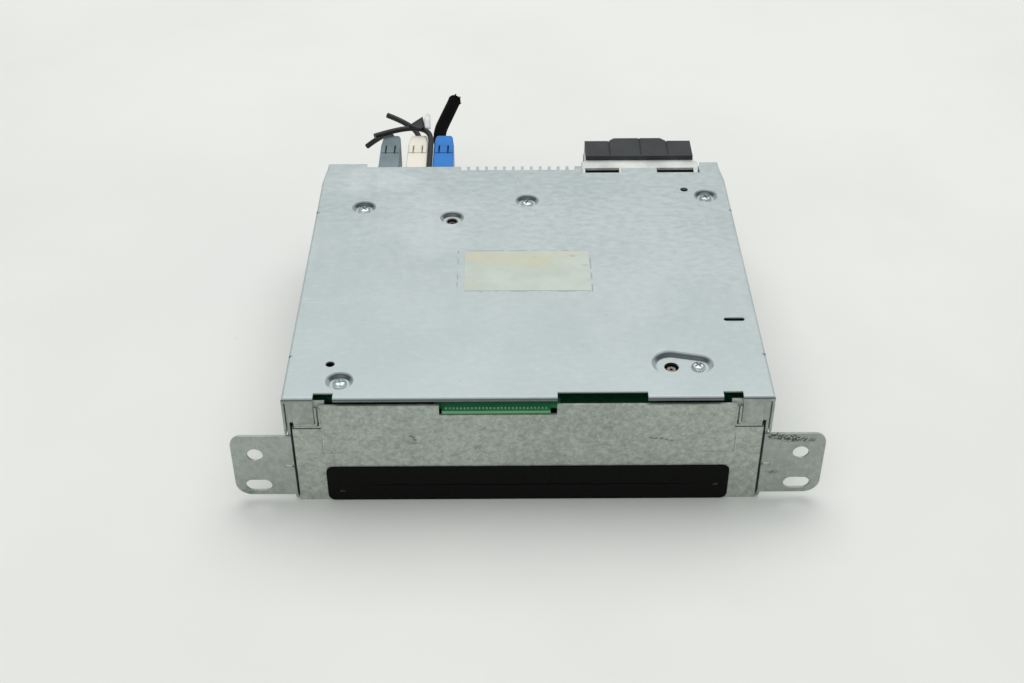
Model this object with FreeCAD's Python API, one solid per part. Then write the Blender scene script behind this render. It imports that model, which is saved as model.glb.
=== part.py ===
import FreeCAD, Part
import math
import os

# A slot-loading disc drive for a car's navigation system, single height, laid as it is stored:
# service side up, disc slot low in the front. Lengths are in millimetres. X runs to the right and
# Z up. Y is measured back from the front plate's face while the pieces are made, and export()
# then moves every piece so that the origin is under the middle of the drive.

# Case
CASE_WIDTH = 180.0
CASE_HEIGHT = 50.0
CASE_DEPTH = 165.0
SHEET = 0.8
CHASSIS_SHEET = 1.0
COVER_FIT = 0.3
BEND_RADIUS = 1.1
COVER_WALL_BOTTOM = CASE_HEIGHT - 17.0
CORNER_TABS_BEHIND = 2.0
REAR_TAPER_LENGTH = 13.0
REAR_TAPER = 1.3
WALL_SEAM = 0.4

# Folds and cut-outs of the cover
LIP_DROP = 1.7
LIP_GAP_DEPTH = 3.3
SMALL_NOTCH_WIDTH = 7.2
SMALL_NOTCH_INNER_X = 71.2
CORNER_LUG_INSET = 3.2
BOARD_NOTCH_X = (10.7, 43.7)
TAB_WIDTH = 7.8
TAB_OUTER_X = 86.4
TAB_BOTTOM = CASE_HEIGHT - 12.0
DART_DEPTHS = (25.2, 126.3)
DART_WIDTH = 3.0
DART_REACH = 2.4
DART_DENT = 1.68
WELL_RADIUS = 5.2
WELL_FLOOR_RADIUS = 3.7
WELL_DEPTH = 2.0
WELL_WALL = 0.5
WELLS = ((-69.5, 10.5), (-69.6, 130.2), (1.4, 135.0), (80.0, 138.5))
STUD_WELL = (-31.1, 121.5)
TEAR_SCREW = (64.0, 19.6)
TEAR_STUD = (54.0, 20.0)
TEAR_RIM_RADII = (7.6, 5.6)
TEAR_FLOOR_RADII = (5.7, 3.9)
STUD_HOLE_RADIUS = 2.75
STUD_WELL_HOLE_RADIUS = 2.2
TOOLING_HOLE_RADIUS = 1.7
TOOLING_HOLES = ((-73.8, 20.3), (71.0, 143.6))
SMALL_SLOT = (80.8, 47.2)
SMALL_SLOT_LENGTH = 8.2
SMALL_SLOT_WIDTH = 2.2
VENT_X = (-28.3, 24.6)
VENT_PITCH = 4.07
VENT_TOOTH = 1.2
VENT_DEPTH = 4.0
VENT_DROP = 8.0
HEADER_NOTCH_X = (26.2, 79.6)
HEADER_NOTCH_DEPTH = 6.6
HEADER_TONGUE_X = (44.6, 60.4)
HEADER_TONGUE_DEPTH = 2.6
LEFT_WING_WIDTH = 17.5
WING_INSET = 0.2
LABEL_X = (-24.8, 26.2)
LABEL_DEPTH = (67.0, 95.0)
LABEL_THICKNESS = 0.12

# Front plate and disc slot
PLATE_WIDTH = 174.4
PLATE_SHOULDER = CASE_HEIGHT - 14.5
PLATE_UPPER_WIDTH = 152.8
PLATE_TOP = CASE_HEIGHT - 3.5
PLATE_FLANGE = 12.0
BOARD_GAP_X = (-32.6, 10.6)
BOARD_GAP_BOTTOM = CASE_HEIGHT - 8.1
SLOT_CENTRE_Z = 8.0
SLOT_WIDTH = 126.0
SLOT_HEIGHT = 5.2
FELT_WIDTH = 152.2
FELT_HEIGHT = 16.6
FELT_BOTTOM = 0.2
FELT_THICKNESS = 0.6
FELT_CORNER = 2.6
FELT_MOUTH_WIDTH = 124.0
FELT_MOUTH_HEIGHT = 4.8

# Mounting ears
EAR_SPAN = 222.0
EAR_BOTTOM = 2.8
EAR_TOP = CASE_HEIGHT - 18.0
EAR_UPPER_CORNER = 4.5
EAR_LOWER_CORNER = 6.0
EAR_HOLE_SPACING = 204.4
EAR_HOLE_Z = 22.7
EAR_HOLE_RADIUS = 3.0
EAR_SLOT_Z = 7.5
EAR_SLOT_LENGTH = 10.0
EAR_SLOT_WIDTH = 5.6
RELIEF_Z = 16.5
RELIEF_WIDTH = 1.2
RELIEF_LENGTH = 2.4

# Circuit board
BOARD_THICKNESS = 1.2
BOARD_BOTTOM = CASE_HEIGHT - 7.6
BOARD_SIDE_GAP = 2.4
BOARD_DEPTH = (3.2, 160.0)
TONGUE_X = (-31.6, 8.2)
TONGUE_SETBACK = 0.3
PAD_COUNT = 28
PAD_PITCH = 1.36
PAD_SIZE = (0.7, 0.9)
PAD_HEIGHT = 0.15
PAD_SETBACK = 1.2
CHIPS = ((-44.0, 40.0, 20.0, 20.0, 1.6), (-8.0, 52.0, 24.0, 24.0, 2.2), (30.0, 44.0, 14.0, 18.0, 1.4),
         (-46.0, 92.0, 16.0, 22.0, 1.4), (40.0, 104.0, 18.0, 18.0, 1.6), (-6.0, 104.0, 12.0, 20.0, 1.4))
CAPACITORS = ((58.0, 62.0), (66.0, 62.0), (58.0, 72.0), (-66.0, 62.0))
CAPACITOR_RADIUS = 3.0
CAPACITOR_HEIGHT = 5.2
FLAT_CABLE_X = (-60.0, -46.0)
FLAT_CABLE_DEPTH = (124.0, 140.0)
FLAT_CABLE_THICKNESS = 0.3

# Screws and posts
SCREW_HEAD_RADIUS = 2.65
SCREW_HEAD_HEIGHT = 1.5
SCREW_SHANK_RADIUS = 1.25
SCREW_LENGTH = 5.0
FOOT_SCREW_LENGTH = 2.0
SCREW_HOLE_CLEARANCE = 0.15
RECESS_WIDTH = 0.75
RECESS_DEPTH = 0.7
RECESS_REACH = 1.65
POST_ACROSS_FLATS = 5.0
SPIGOT_RADIUS = 2.1
STUD_RADIUS = 1.75
STUD_BORE_RADIUS = 0.55
STUD_BORE_DEPTH = 2.0
SMALL_SIDES = 8
HEAD_SIDES = 12

# Rear connectors
HEADER_WIDTH = 54.0
HEADER_CENTRE_X = 54.0
HEADER_DEPTH = (152.0, 186.0)
HEADER_Z = (BOARD_BOTTOM - 15.4, BOARD_BOTTOM + 2.2)
HEADER_WALL = 1.2
HEADER_FLOOR = 3.0
HEADER_PIN_PITCH = 2.5
FIRST_PIN = 0.8
PIN_WAY_MARGIN = 0.2
HEADER_PIN_SIZE = 0.64
HEADER_PIN_LENGTH = 24.0
HEADER_PIN_ROWS = (HEADER_Z[0] + 4.0, HEADER_Z[0] + 9.0, HEADER_Z[0] + 13.0)
MAIN_PLUG_WIDTH = 49.5
MAIN_PLUG_DEPTH = (HEADER_DEPTH[1] - 7.6, HEADER_DEPTH[1] + 6.4)
MAIN_PLUG_TOP = HEADER_Z[1] + 2.4
MAIN_PLUG_BOTTOM = HEADER_Z[0] - 2.4
MAIN_PLUG_LOCK_WIDTH = 27.0
MAIN_PLUG_LOCK_BEHIND = 2.6
MAIN_PLUG_NOSE = 6.0
PLUG_FIT = 0.3
JACK_X = (-62.6, -49.6, -37.4)
JACK_Z = BOARD_BOTTOM - 5.9
JACK_WIDTH = 9.4
JACK_FLANGE_HEIGHT = 10.4
JACK_DEPTH = (152.5, 183.0)
JACK_BARREL_RADIUS = 3.4
JACK_BARREL_BORE = 2.4
JACK_FLANGE_THICKNESS = 2.0
JACK_PIN_RADIUS = 0.5
JACK_PIN_LENGTH = 27.0
ANTENNA_PLUG_WIDTH = 9.6
ANTENNA_PLUG_HEIGHT = 11.0
ANTENNA_PLUG_DEPTH = (176.0, 207.0)
ANTENNA_PLUG_STEP = 191.3
ANTENNA_PLUG_TAPER = 8.0
ANTENNA_PLUG_END_WIDTH = 6.2
LATCH_SLOT = (0.7, 6.5, 2.0)
LATCH_SLOT_SPREAD = 4.2

# Cut cables on the antenna plugs
COAX_DIAMETER = 2.6
BUNDLE_DIAMETER = 6.2
CABLE_SIDES = 12
TAPE_WALL = 0.4
TAPE_LENGTH = 3.6
GREY_RUN = ((0.0, 0.0, 0.0), (0.0, 10.6, 0.0), (-6.0, 18.9, -3.9), (-14.6, 18.3, -10.6))
CREAM_RUN = ((0.0, 0.0, 0.0), (0.0, 10.6, 0.0), (-7.4, 17.6, 3.3), (-16.7, 22.2, 4.7))
BUNDLE_RUN = ((0.0, 0.0, 0.0), (0.0, 12.5, 0.0), (-0.2, 28.2, 1.6), (3.5, 42.9, 2.7))
SIDE_RUN = ((-6.1, -34.6, 5.5), (-6.1, -18.0, 6.1), (-6.1, -1.2, 7.5), (-12.6, 4.6, 7.6), (-23.8, 2.4, 7.5),
            (-33.2, -3.4, 7.4))

# Fixed frame of the drive mechanism
FRAME_SHEET = 1.0
FRAME_HALF_WIDTH = 84.0
FRAME_DEPTH = (5.0, 151.0)
FRAME_TOP = CASE_HEIGHT - 18.0
FRAME_WINDOW_X = (-20.0, 64.0)
FRAME_WINDOW_DEPTH = (62.0, 110.0)
FRAME_FOOT = 8.0
FRAME_FOOT_LENGTH = 16.0
FRAME_FOOT_DEPTHS = (22.0, 132.0)
PIN_FIT = 0.05
SIDE_PLAY = 0.4
WINDOW_CORNER = 4.0
ARCH_HEIGHT = 4.0
ARCH_GAP = 2.0

# Disc path: the disc enters at the slot's height and is lifted to the turntable
SPINDLE_DEPTH = 85.0
PLAY_FACE = 11.0
ROLLER_AXIS = (12.2, 12.7)
ROLLER_RADIUS = 3.9
ROLLER_WAIST = 2.6
ROLLER_LENGTH = 61.0
GRIP_LENGTH = 22.0
ROLLER_GAP = 4.0
SHAFT_RADIUS = 1.5
BUSH_RADIUS = 3.0
BUSH_LENGTH = 2.0
SHAFT_OVERHANG = 1.6
GUIDE_DEPTH = (1.6, 6.4)
GUIDE_ABOVE = 2.0
GUIDE_HEIGHT = 4.0
GUIDE_SLOPE = 1.0
GUIDE_LEAD = 1.6
PINCH_DEPTH = (3.6, 17.5)
PINCH_TOP = 7.9
PINCH_PIVOT = (5.0, 4.0)
PINCH_HALF_WIDTH = 64.0
PINCH_NOSE_DROP = 2.6
PINCH_RAMP = 4.0
PINCH_THICKNESS = 2.0
PINCH_KEEL = 5.0
PINCH_TAIL_CHAMFER = (2.0, 1.0)
PINCH_BAR_OVERHANG = 0.5

# Loading gears, all on axes along X
GEAR_MODULE = 0.5
GEAR_FACE = (-80.6, -78.2)
GEAR_BACKLASH = 0.12
TOOTH_RISE = 0.9
TOOTH_DROP = 1.25
TIP_SHARE = 0.5
ROOT_SHARE = 1.45
ROOT_LIMIT = 0.44
ROLLER_TEETH = 20
IDLER_TEETH = 24
LARGE_TEETH = 36
SMALL_TEETH = 14
MOTOR_TEETH = 10
IDLER_ANGLE = 18.0
REDUCTION_ANGLE = 14.0
MOTOR_ANGLE = 10.0
SECOND_STAGE_SHIFT = 3.0
MOTOR_RADIUS = 9.5
MOTOR_FLAT = 7.5
MOTOR_SHAFT_RADIUS = 1.0
GEAR_PIN_RADIUS = 1.0
MOTOR_LENGTH = 24.0
MOTOR_GAP = 1.5
MOTOR_SHAFT_LENGTH = 8.0
MOTOR_LUG_INSET = 4.0
MOTOR_LUG_HALF = 3.0
PIN_PROUD = 0.5

# Mode slider and its pinion, on the right side wall
SLIDER_X = (80.4, 82.4)
SLIDER_DEPTH = (38.0, 120.0)
SLIDER_Z = (12.0, 17.4)
SLIDER_TRAVEL = 8.0
RACK_DEPTH = (56.0, 82.0)
MODE_TEETH = 16
MODE_DEPTH = 66.0
SLIDER_STUD_INSETS = (11.0, 4.0)
SLIDER_STUD_PROUD = 1.2
STUD_HEAD = 1.0
SLOT_END_ROOM = 0.2

# Floating deck
DECK_SHEET = 1.2
DECK_BOTTOM = 22.0
DECK_X = (-34.0, 78.0)
DECK_DEPTH = (48.0, 122.0)
DECK_ARM_X = (22.0, 30.0)
DECK_ARM_DEPTH = 156.0
DECK_CORNER = 3.0
DECK_LUG_REACH = 2.5
SUPPORT_HALF = 2.4
SUPPORT_THICKNESS = 2.0
DECK_WINDOW_HALF_DEPTH = 10.0
DECK_WINDOW_INSETS = (2.0, 5.0)
DAMPER_SITES = ((-29.0, 53.0), (72.0, 53.0), (22.0, 117.0))
DAMPER_RADIUS = 3.2
SPRING_RADII = (4.0, 4.7)
SPINDLE_BODY_RADIUS = 12.0
SPINDLE_BODY_HEIGHT = 4.2
TURNTABLE_RADIUS = 13.0
ROTOR_TOP = 17.4
PAD_THICKNESS = 0.4
HUB_RADIUS = 7.3
HUB_DROP = 1.8
ROD_RADIUS = 1.5
ROD_DEPTHS = (66.0, 106.0)
ROD_Z = 17.0
ROD_X = (14.5, 77.0)
SCREW_DEPTH = 57.0
SCREW_Z = 17.0
LEAD_SCREW_RADIUS = 1.25
SLED_MOTOR_RADIUS = 5.0
SLED_MOTOR_X = (-12.0, 10.0)
SADDLE_INSET = 2.0
SADDLE_HALF = 3.0
SCREW_ENTRY = (4.0, 5.0)
SLED_X = (16.2, 41.5)
SLED_DEPTH = (ROD_DEPTHS[0] - 3.5, ROD_DEPTHS[1] + 3.5)
SLED_HEIGHT = (13.2, 20.2)
NUT_ARM_HALF = 4.0
NUT_ARM_REACH = 2.0
POCKET_HEIGHT = 4.4
LENS_X = 24.0
LENS_RADIUS = 2.2
LENS_FACE = 12.4
LENS_THICKNESS = 2.0
HOLDER_SETBACK = 0.5
HOLDER_HEIGHT = 3.0
LENS_HOLDER = 11.0

# Clamp under the disc
CLAMP_PIVOT = (153.5, 5.0)
CLAMP_PIN_RADIUS = 1.2
LUG_THICKNESS = 1.2
CLAMP_SHEET = 0.8
CLAMP_BOTTOM = 3.2
PUCK_RADIUS = 14.0
PUCK_NECK_RADIUS = 4.0
PUCK_HEAD = 2.0
PUCK_FLANGE = (2.0, 0.5)
CLAMP_HALF_WIDTH = 9.0
CLAMP_REAR_REACH = 2.0
CLAMP_SHOULDERS = (7.0, 8.0)
CLAMP_WINDOW_DEPTHS = (12.0, 16.0)

# Levers that feel and push the disc
EJECT_PIVOT = (-68.0, 142.0)
EJECT_TIP = (-12.0, 148.5)
LEVER_PIVOT = (64.0, 42.0)
LEVER_FINGER = (54.0, 22.0)
LEVER_Z = 9.4
LEVER_PIN_RADIUS = 1.5
ARM_Z = 7.2
LEVER_THICKNESS = 1.6
EJECT_RADII = (4.0, 2.5)
LEVER_RADII = (3.6, 1.6)
LEVER_FINGER_DROP = 3.2

X_AXIS = FreeCAD.Vector(1, 0, 0)
Y_AXIS = FreeCAD.Vector(0, 1, 0)
Z_AXIS = FreeCAD.Vector(0, 0, 1)
FRONT_SHIFT = (FELT_THICKNESS - MAIN_PLUG_DEPTH[1] - MAIN_PLUG_LOCK_BEHIND) / 2
CASE_HALF = CASE_WIDTH / 2
COVER_INSIDE = CASE_HALF - SHEET
CHASSIS_HALF = COVER_INSIDE - COVER_FIT
COVER_UNDERSIDE = CASE_HEIGHT - SHEET
EXTRA = 1.0
ROUND_SHARE = 0.8


def vec(x, y, z):
    return FreeCAD.Vector(x, y, z)


def block(x_range, y_range, z_range):
    size = [high - low for low, high in (x_range, y_range, z_range)]
    return Part.makeBox(*size, vec(x_range[0], y_range[0], z_range[0]))


def rod(radius, start, length, axis=Z_AXIS):
    return Part.makeCylinder(radius, length, start, axis)


def cone(low_radius, high_radius, start, length, axis=Z_AXIS):
    return Part.makeCone(low_radius, high_radius, length, start, axis)


def even_corners(radius, centre, axis, sides):
    """Corners of a regular outline round an axis of unit length."""
    across = axis.cross(Y_AXIS if abs(axis.y) < 0.5 else X_AXIS) * radius
    aside = axis.cross(across)
    angles = [2 * math.pi * index / sides for index in range(sides)]
    return [centre + across * math.cos(angle) + aside * math.sin(angle) for angle in angles]


def peg(radius, start, length, axis=Z_AXIS, sides=SMALL_SIDES):
    """Flat-sided rod for small fasteners, their holes and what else repeats out of sight."""
    return prism(even_corners(radius, start, axis, sides), axis * length)


def join(pieces):
    first, *rest = pieces
    return first.multiFuse(rest).removeSplitter() if rest else first


def prism(points, normal):
    """Straight-sided prism over a closed outline."""
    return Part.Face(Part.makePolygon(points + points[:1])).extrude(normal)


def plan(outline, z_range):
    points = [vec(x, y, z_range[0]) for x, y in outline]
    return prism(points, vec(0, 0, z_range[1] - z_range[0]))


def upright(outline, y_range):
    """Prism of an outline in X and Z, run from front to back."""
    points = [vec(x, y_range[0], z) for x, z in outline]
    return prism(points, vec(0, y_range[1] - y_range[0], 0))


def sideways(outline, x_range):
    """Prism of an outline in Y and Z, run from left to right."""
    points = [vec(x_range[0], y, z) for y, z in outline]
    return prism(points, vec(x_range[1] - x_range[0], 0, 0))


def mirrored(shape):
    return shape.mirror(vec(0, 0, 0), X_AXIS)


def both_sides(shape):
    return [shape, mirrored(shape)]


def edges_along(shape, axis, test):
    """Straight edges that run along an axis and whose middle passes a test."""
    found = []
    for edge in shape.Edges:
        if edge.Curve.TypeId != "Part::GeomLine":
            continue
        run = edge.tangentAt(edge.FirstParameter)
        if abs(run.dot(axis)) > 0.999 and test(edge.CenterOfMass):
            found.append(edge)
    return found


def long_hole(centre, length, width, depth, along, through):
    """Round-ended hole, centred, length along one axis and depth through another."""
    radius = width / 2
    half = along * (length / 2 - radius)
    across = through.cross(along) * radius
    back = through * depth
    corners = [centre - half - across, centre + half - across, centre + half + across, centre - half + across]
    ends = [Part.makeCylinder(radius, depth, centre + half * side, through) for side in (-1, 1)]
    return join([prism(corners, back)] + ends)


def hull_outline(sites, radii, z):
    """Closed wire of two circles and the two tangents that join them."""
    (x1, y1), (x2, y2) = sites
    r1, r2 = radii
    gap = math.hypot(x2 - x1, y2 - y1)
    heading = math.atan2(y2 - y1, x2 - x1)
    lean = math.acos((r1 - r2) / gap)

    def at(x, y, radius, angle):
        return vec(x + radius * math.cos(angle), y + radius * math.sin(angle), z)

    upper, lower = heading + lean, heading - lean
    large = Part.Arc(at(x1, y1, r1, upper), at(x1, y1, r1, heading + math.pi), at(x1, y1, r1, lower))
    small = Part.Arc(at(x2, y2, r2, lower), at(x2, y2, r2, heading), at(x2, y2, r2, upper))
    to_small = Part.LineSegment(at(x1, y1, r1, lower), at(x2, y2, r2, lower))
    to_large = Part.LineSegment(at(x2, y2, r2, upper), at(x1, y1, r1, upper))
    return Part.Wire([part.toShape() for part in (large, to_small, small, to_large)])


def gear(teeth, x_range, centre, phase=0.0, bore=0.0):
    """Spur gear on an axis along X, with one tooth's middle at the phase angle in the Y-Z plane."""
    pitch = GEAR_MODULE * teeth / 2
    tip, root = pitch + GEAR_MODULE * TOOTH_RISE, pitch - GEAR_MODULE * TOOTH_DROP
    step = 2 * math.pi / teeth
    half_pitch = step / 4 - GEAR_BACKLASH / pitch / 2
    half_tip = half_pitch * TIP_SHARE
    half_root = min(half_pitch * ROOT_SHARE, step * ROOT_LIMIT)
    outline = []
    for tooth in range(teeth):
        middle = phase + tooth * step
        for radius, offset in ((root, -half_root), (tip, -half_tip), (tip, half_tip), (root, half_root)):
            angle = middle + offset
            outline.append((centre[0] + radius * math.cos(angle), centre[1] + radius * math.sin(angle)))
    body = sideways(outline, x_range)
    if bore:
        length = x_range[1] - x_range[0] + 2 * EXTRA
        body = body.cut(rod(bore, vec(x_range[0] - EXTRA, *centre), length, X_AXIS))
    return body


def meshing_phase(driver_teeth, driver_phase, angle, driven_teeth):
    """Phase that drops a tooth gap of the driven gear on the driver's tooth line."""
    driver_step = 2 * math.pi / driver_teeth
    driven_step = 2 * math.pi / driven_teeth
    offset = ((angle - driver_phase) / driver_step) % 1.0
    return angle + math.pi + driven_step * (0.5 + offset)


def beside(centre, teeth, other_teeth, degrees):
    """Centre of a gear that meshes with another, in the direction given."""
    reach = GEAR_MODULE * (teeth + other_teeth) / 2
    angle = math.radians(degrees)
    return (centre[0] + reach * math.cos(angle), centre[1] + reach * math.sin(angle))


def cable(name, start_at, offsets, diameter):
    """Tube along straight runs joined by tangent arcs; it leaves its start square to the rear."""
    route = [start_at + vec(*offset) for offset in offsets]
    edges = []
    start = route[0]
    for before, corner, after in zip(route, route[1:], route[2:]):
        to_corner, away = corner - before, after - corner
        turn = to_corner.getAngle(away)
        trim = 0.45 * min(to_corner.Length, away.Length)
        radius = trim / math.tan(turn / 2)
        first = corner - to_corner.normalize() * trim
        last = corner + away.normalize() * trim
        towards = (first + last) * 0.5 - corner
        middle = corner + towards.normalize() * (math.hypot(radius, trim) - radius)
        edges.append(Part.LineSegment(start, first).toShape())
        edges.append(Part.Arc(first, middle, last).toShape())
        print(f"{name}: arc radius {radius:.1f}, {radius / diameter:.1f} diameters")
        start = last
    edges.append(Part.LineSegment(start, route[-1]).toShape())
    path = Part.Wire(edges)
    heading = (route[1] - route[0]).normalize()
    corners = even_corners(diameter / 2, route[0], heading, CABLE_SIDES)
    ring = Part.makePolygon(corners + corners[:1])
    tube = path.makePipeShell([ring], True, False)
    share = tube.Volume / (Part.Face(ring).Area * path.Length)
    print(f"{name}: length {path.Length:.1f}, volume over section times length {share:.3f}")
    return tube


def screw(x, y, face, length):
    """Flat-headed screw driven down, its head standing on a face and its recess a cross."""
    head = peg(SCREW_HEAD_RADIUS, vec(x, y, face), SCREW_HEAD_HEIGHT, Z_AXIS, HEAD_SIDES)
    shank = peg(SCREW_SHANK_RADIUS, vec(x, y, face - length), length)
    recess_z = (face + SCREW_HEAD_HEIGHT - RECESS_DEPTH, face + SCREW_HEAD_HEIGHT + EXTRA)
    half, reach = RECESS_WIDTH / 2, RECESS_REACH
    recess = [block((x - reach, x + reach), (y - half, y + half), recess_z),
              block((x - half, x + half), (y - reach, y + reach), recess_z)]
    return join([head, shank]).cut(join(recess))


def export(node, shape):
    solids = shape.Solids
    for solid in solids:
        if not solid.isValid() or solid.Volume <= 0:
            print(f"{node}: a solid is not valid")
    placed = Part.Compound(solids) if len(solids) > 1 else solids[0]
    placed.translate(vec(0, FRONT_SHIFT, 0))
    placed.exportStep(f"parts/{node}.step")


def cover_outline(inset, back):
    """Plan of the cover's outside, drawn in towards both rear corners."""
    side = CASE_HALF - inset
    rear = CASE_DEPTH - back
    tapered = side - REAR_TAPER
    taper_start = rear - REAR_TAPER_LENGTH
    return [(-side, inset), (side, inset), (side, taper_start), (tapered, rear), (-tapered, rear),
            (-side, taper_start)]


def round_well(shape, x, y, hole):
    """Press a round well with sloping sides into the top and pierce its floor."""
    outer = cone(WELL_FLOOR_RADIUS, WELL_RADIUS, vec(x, y, CASE_HEIGHT - WELL_DEPTH), WELL_DEPTH)
    shell = cone(WELL_FLOOR_RADIUS + WELL_WALL, WELL_RADIUS + WELL_WALL,
                 vec(x, y, CASE_HEIGHT - WELL_DEPTH - SHEET), WELL_DEPTH)
    return shape.fuse(shell).cut(outer.fuse(hole))


def screw_hole(x, y, low, length):
    return peg(SCREW_SHANK_RADIUS + SCREW_HOLE_CLEARANCE, vec(x, y, low), length)


def tear_well(shape):
    """Press the tear-shaped well that holds a screw and the window of a locating stud."""
    sites = (TEAR_STUD, TEAR_SCREW)

    def loft(growth, top, drop):
        rim = hull_outline(sites, [radius + growth for radius in TEAR_RIM_RADII], top)
        floor = hull_outline(sites, [radius + growth for radius in TEAR_FLOOR_RADII], top - drop)
        return Part.makeLoft([floor, rim], True, True)

    outer = loft(0.0, CASE_HEIGHT, WELL_DEPTH)
    shell = loft(WELL_WALL, COVER_UNDERSIDE, WELL_DEPTH)
    below = CASE_HEIGHT - WELL_DEPTH - SHEET - EXTRA
    holes = [rod(STUD_HOLE_RADIUS, vec(*TEAR_STUD, below), WELL_DEPTH),
             screw_hole(*TEAR_SCREW, below, WELL_DEPTH)]
    return shape.fuse(shell).cut(join([outer] + holes))


def bend_darts(shape):
    """Small gussets pressed across the side bends."""
    size = DART_REACH
    for y in DART_DEPTHS:
        half = DART_WIDTH / 2
        inner_corner = vec(COVER_INSIDE, y, COVER_UNDERSIDE)
        base = [inner_corner + vec(-size, 0, 0), inner_corner + vec(0, 0, -size)]
        gusset = prism([inner_corner + vec(EXTRA / 2, -half, EXTRA / 2), base[0] + vec(0, -half, EXTRA / 2),
                        base[1] + vec(EXTRA / 2, -half, 0)], vec(0, DART_WIDTH, 0))
        corner = vec(CASE_HALF, y, CASE_HEIGHT)
        reach = DART_DENT
        tips = [corner + vec(-reach, 0, 0), corner + vec(0, 0, -reach)]
        spread = vec(0, half, 0)
        outside = corner + vec(EXTRA, 0, EXTRA)
        ring = [outside - spread * 2, outside + spread * 2]
        faces = [ring + [tips[0]], ring + [tips[1]], [ring[0]] + tips, [ring[1]] + tips]
        dent = Part.Solid(Part.Shell([Part.Face(Part.makePolygon(loop + loop[:1])) for loop in faces]))
        if dent.Volume < 0:
            dent.reverse()
        for add, remove in zip(both_sides(gusset), both_sides(dent)):
            shape = shape.fuse(add).cut(remove)
    return shape


def vent_slots():
    """Slots that wrap over the rear bend, leaving thin teeth between them."""
    count = round((VENT_X[1] - VENT_X[0]) / VENT_PITCH)
    rear = CASE_DEPTH + EXTRA
    slots = []
    for index in range(count):
        left = VENT_X[0] + index * VENT_PITCH
        slots.append(block((left, left + VENT_PITCH - VENT_TOOTH), (CASE_DEPTH - VENT_DEPTH, rear),
                           (CASE_HEIGHT - VENT_DROP, CASE_HEIGHT + EXTRA)))
    return slots


def jack_windows(z_range, y_range):
    half = JACK_WIDTH / 2 + PLUG_FIT
    return [block((x - half, x + half), y_range, z_range) for x in JACK_X]


def top_cover():
    """Folded cover: top plate, side and rear walls, front lip, corner tabs and pressed wells."""
    outside = plan(cover_outline(0.0, 0.0), (COVER_WALL_BOTTOM, CASE_HEIGHT))
    outside = outside.makeFillet(BEND_RADIUS, [edge for edge in outside.Edges
                                               if edge.BoundBox.ZMin > CASE_HEIGHT - 0.01])
    inside = plan(cover_outline(SHEET, SHEET), (COVER_WALL_BOTTOM - EXTRA, COVER_UNDERSIDE))
    shape = outside.cut(inside)
    front = (-EXTRA, SHEET + EXTRA)
    below_lip = CASE_HEIGHT - LIP_DROP
    inner_tab = TAB_OUTER_X - TAB_WIDTH
    cuts = [block((-inner_tab, inner_tab), front, (COVER_WALL_BOTTOM - EXTRA, below_lip))]
    corner_z = (0, CASE_HEIGHT - 2 * BEND_RADIUS)
    cuts += both_sides(block((TAB_OUTER_X, CASE_HALF - SHEET), front, corner_z))
    cuts += both_sides(block((inner_tab - EXTRA, CASE_HALF - SHEET), front, (0, TAB_BOTTOM)))
    notch_z = (below_lip - EXTRA, CASE_HEIGHT + EXTRA)
    small = (SMALL_NOTCH_INNER_X, SMALL_NOTCH_INNER_X + SMALL_NOTCH_WIDTH)
    cuts += both_sides(block(small, (-EXTRA, LIP_GAP_DEPTH), notch_z))
    cuts.append(block(BOARD_NOTCH_X, (-EXTRA, LIP_GAP_DEPTH), notch_z))
    rear = CASE_DEPTH + EXTRA
    deep = (COVER_WALL_BOTTOM - EXTRA, CASE_HEIGHT + EXTRA)
    cuts.append(block(HEADER_NOTCH_X, (CASE_DEPTH - HEADER_TONGUE_DEPTH, rear), deep))
    for gap in ((HEADER_NOTCH_X[0], HEADER_TONGUE_X[0]), (HEADER_TONGUE_X[1], HEADER_NOTCH_X[1])):
        cuts.append(block(gap, (CASE_DEPTH - HEADER_NOTCH_DEPTH, rear), deep))
    header_reach = HEADER_CENTRE_X + HEADER_WIDTH / 2 + PLUG_FIT
    cuts.append(block((HEADER_NOTCH_X[0], header_reach), (CASE_DEPTH - SHEET * 2, rear),
                      (COVER_WALL_BOTTOM - EXTRA, HEADER_Z[1] + PLUG_FIT)))
    cuts += vent_slots()
    cuts += jack_windows((COVER_WALL_BOTTOM - EXTRA, JACK_Z + JACK_FLANGE_HEIGHT / 2 + PLUG_FIT),
                         (CASE_DEPTH - SHEET * 2, rear))
    for x, y in TOOLING_HOLES:
        cuts.append(rod(TOOLING_HOLE_RADIUS, vec(x, y, CASE_HEIGHT - SHEET * 2), SHEET * 3))
    cuts.append(long_hole(vec(*SMALL_SLOT, CASE_HEIGHT - SHEET * 2), SMALL_SLOT_LENGTH, SMALL_SLOT_WIDTH,
                          SHEET * 3, X_AXIS, Z_AXIS))
    shape = shape.cut(join(cuts))
    corner_width = (CASE_HALF - REAR_TAPER) - HEADER_NOTCH_X[1] - SHEET
    wing_x = (CASE_HALF - REAR_TAPER - corner_width, CASE_HALF - REAR_TAPER - WING_INSET)
    wing_y = (CASE_DEPTH - BEND_RADIUS, CASE_DEPTH + CORNER_TABS_BEHIND)
    wing = block(wing_x, wing_y, (COVER_UNDERSIDE, CASE_HEIGHT))
    left_wing = block((-wing_x[1], -wing_x[1] + LEFT_WING_WIDTH), wing_y, (COVER_UNDERSIDE, CASE_HEIGHT))
    shape = shape.fuse(wing).fuse(left_wing)
    below = CASE_HEIGHT - WELL_DEPTH - SHEET - EXTRA
    for x, y in WELLS:
        shape = round_well(shape, x, y, screw_hole(x, y, below, WELL_DEPTH))
    shape = round_well(shape, *STUD_WELL, rod(STUD_WELL_HOLE_RADIUS, vec(*STUD_WELL, below), WELL_DEPTH))
    shape = tear_well(shape)
    return bend_darts(shape).removeSplitter()


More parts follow.
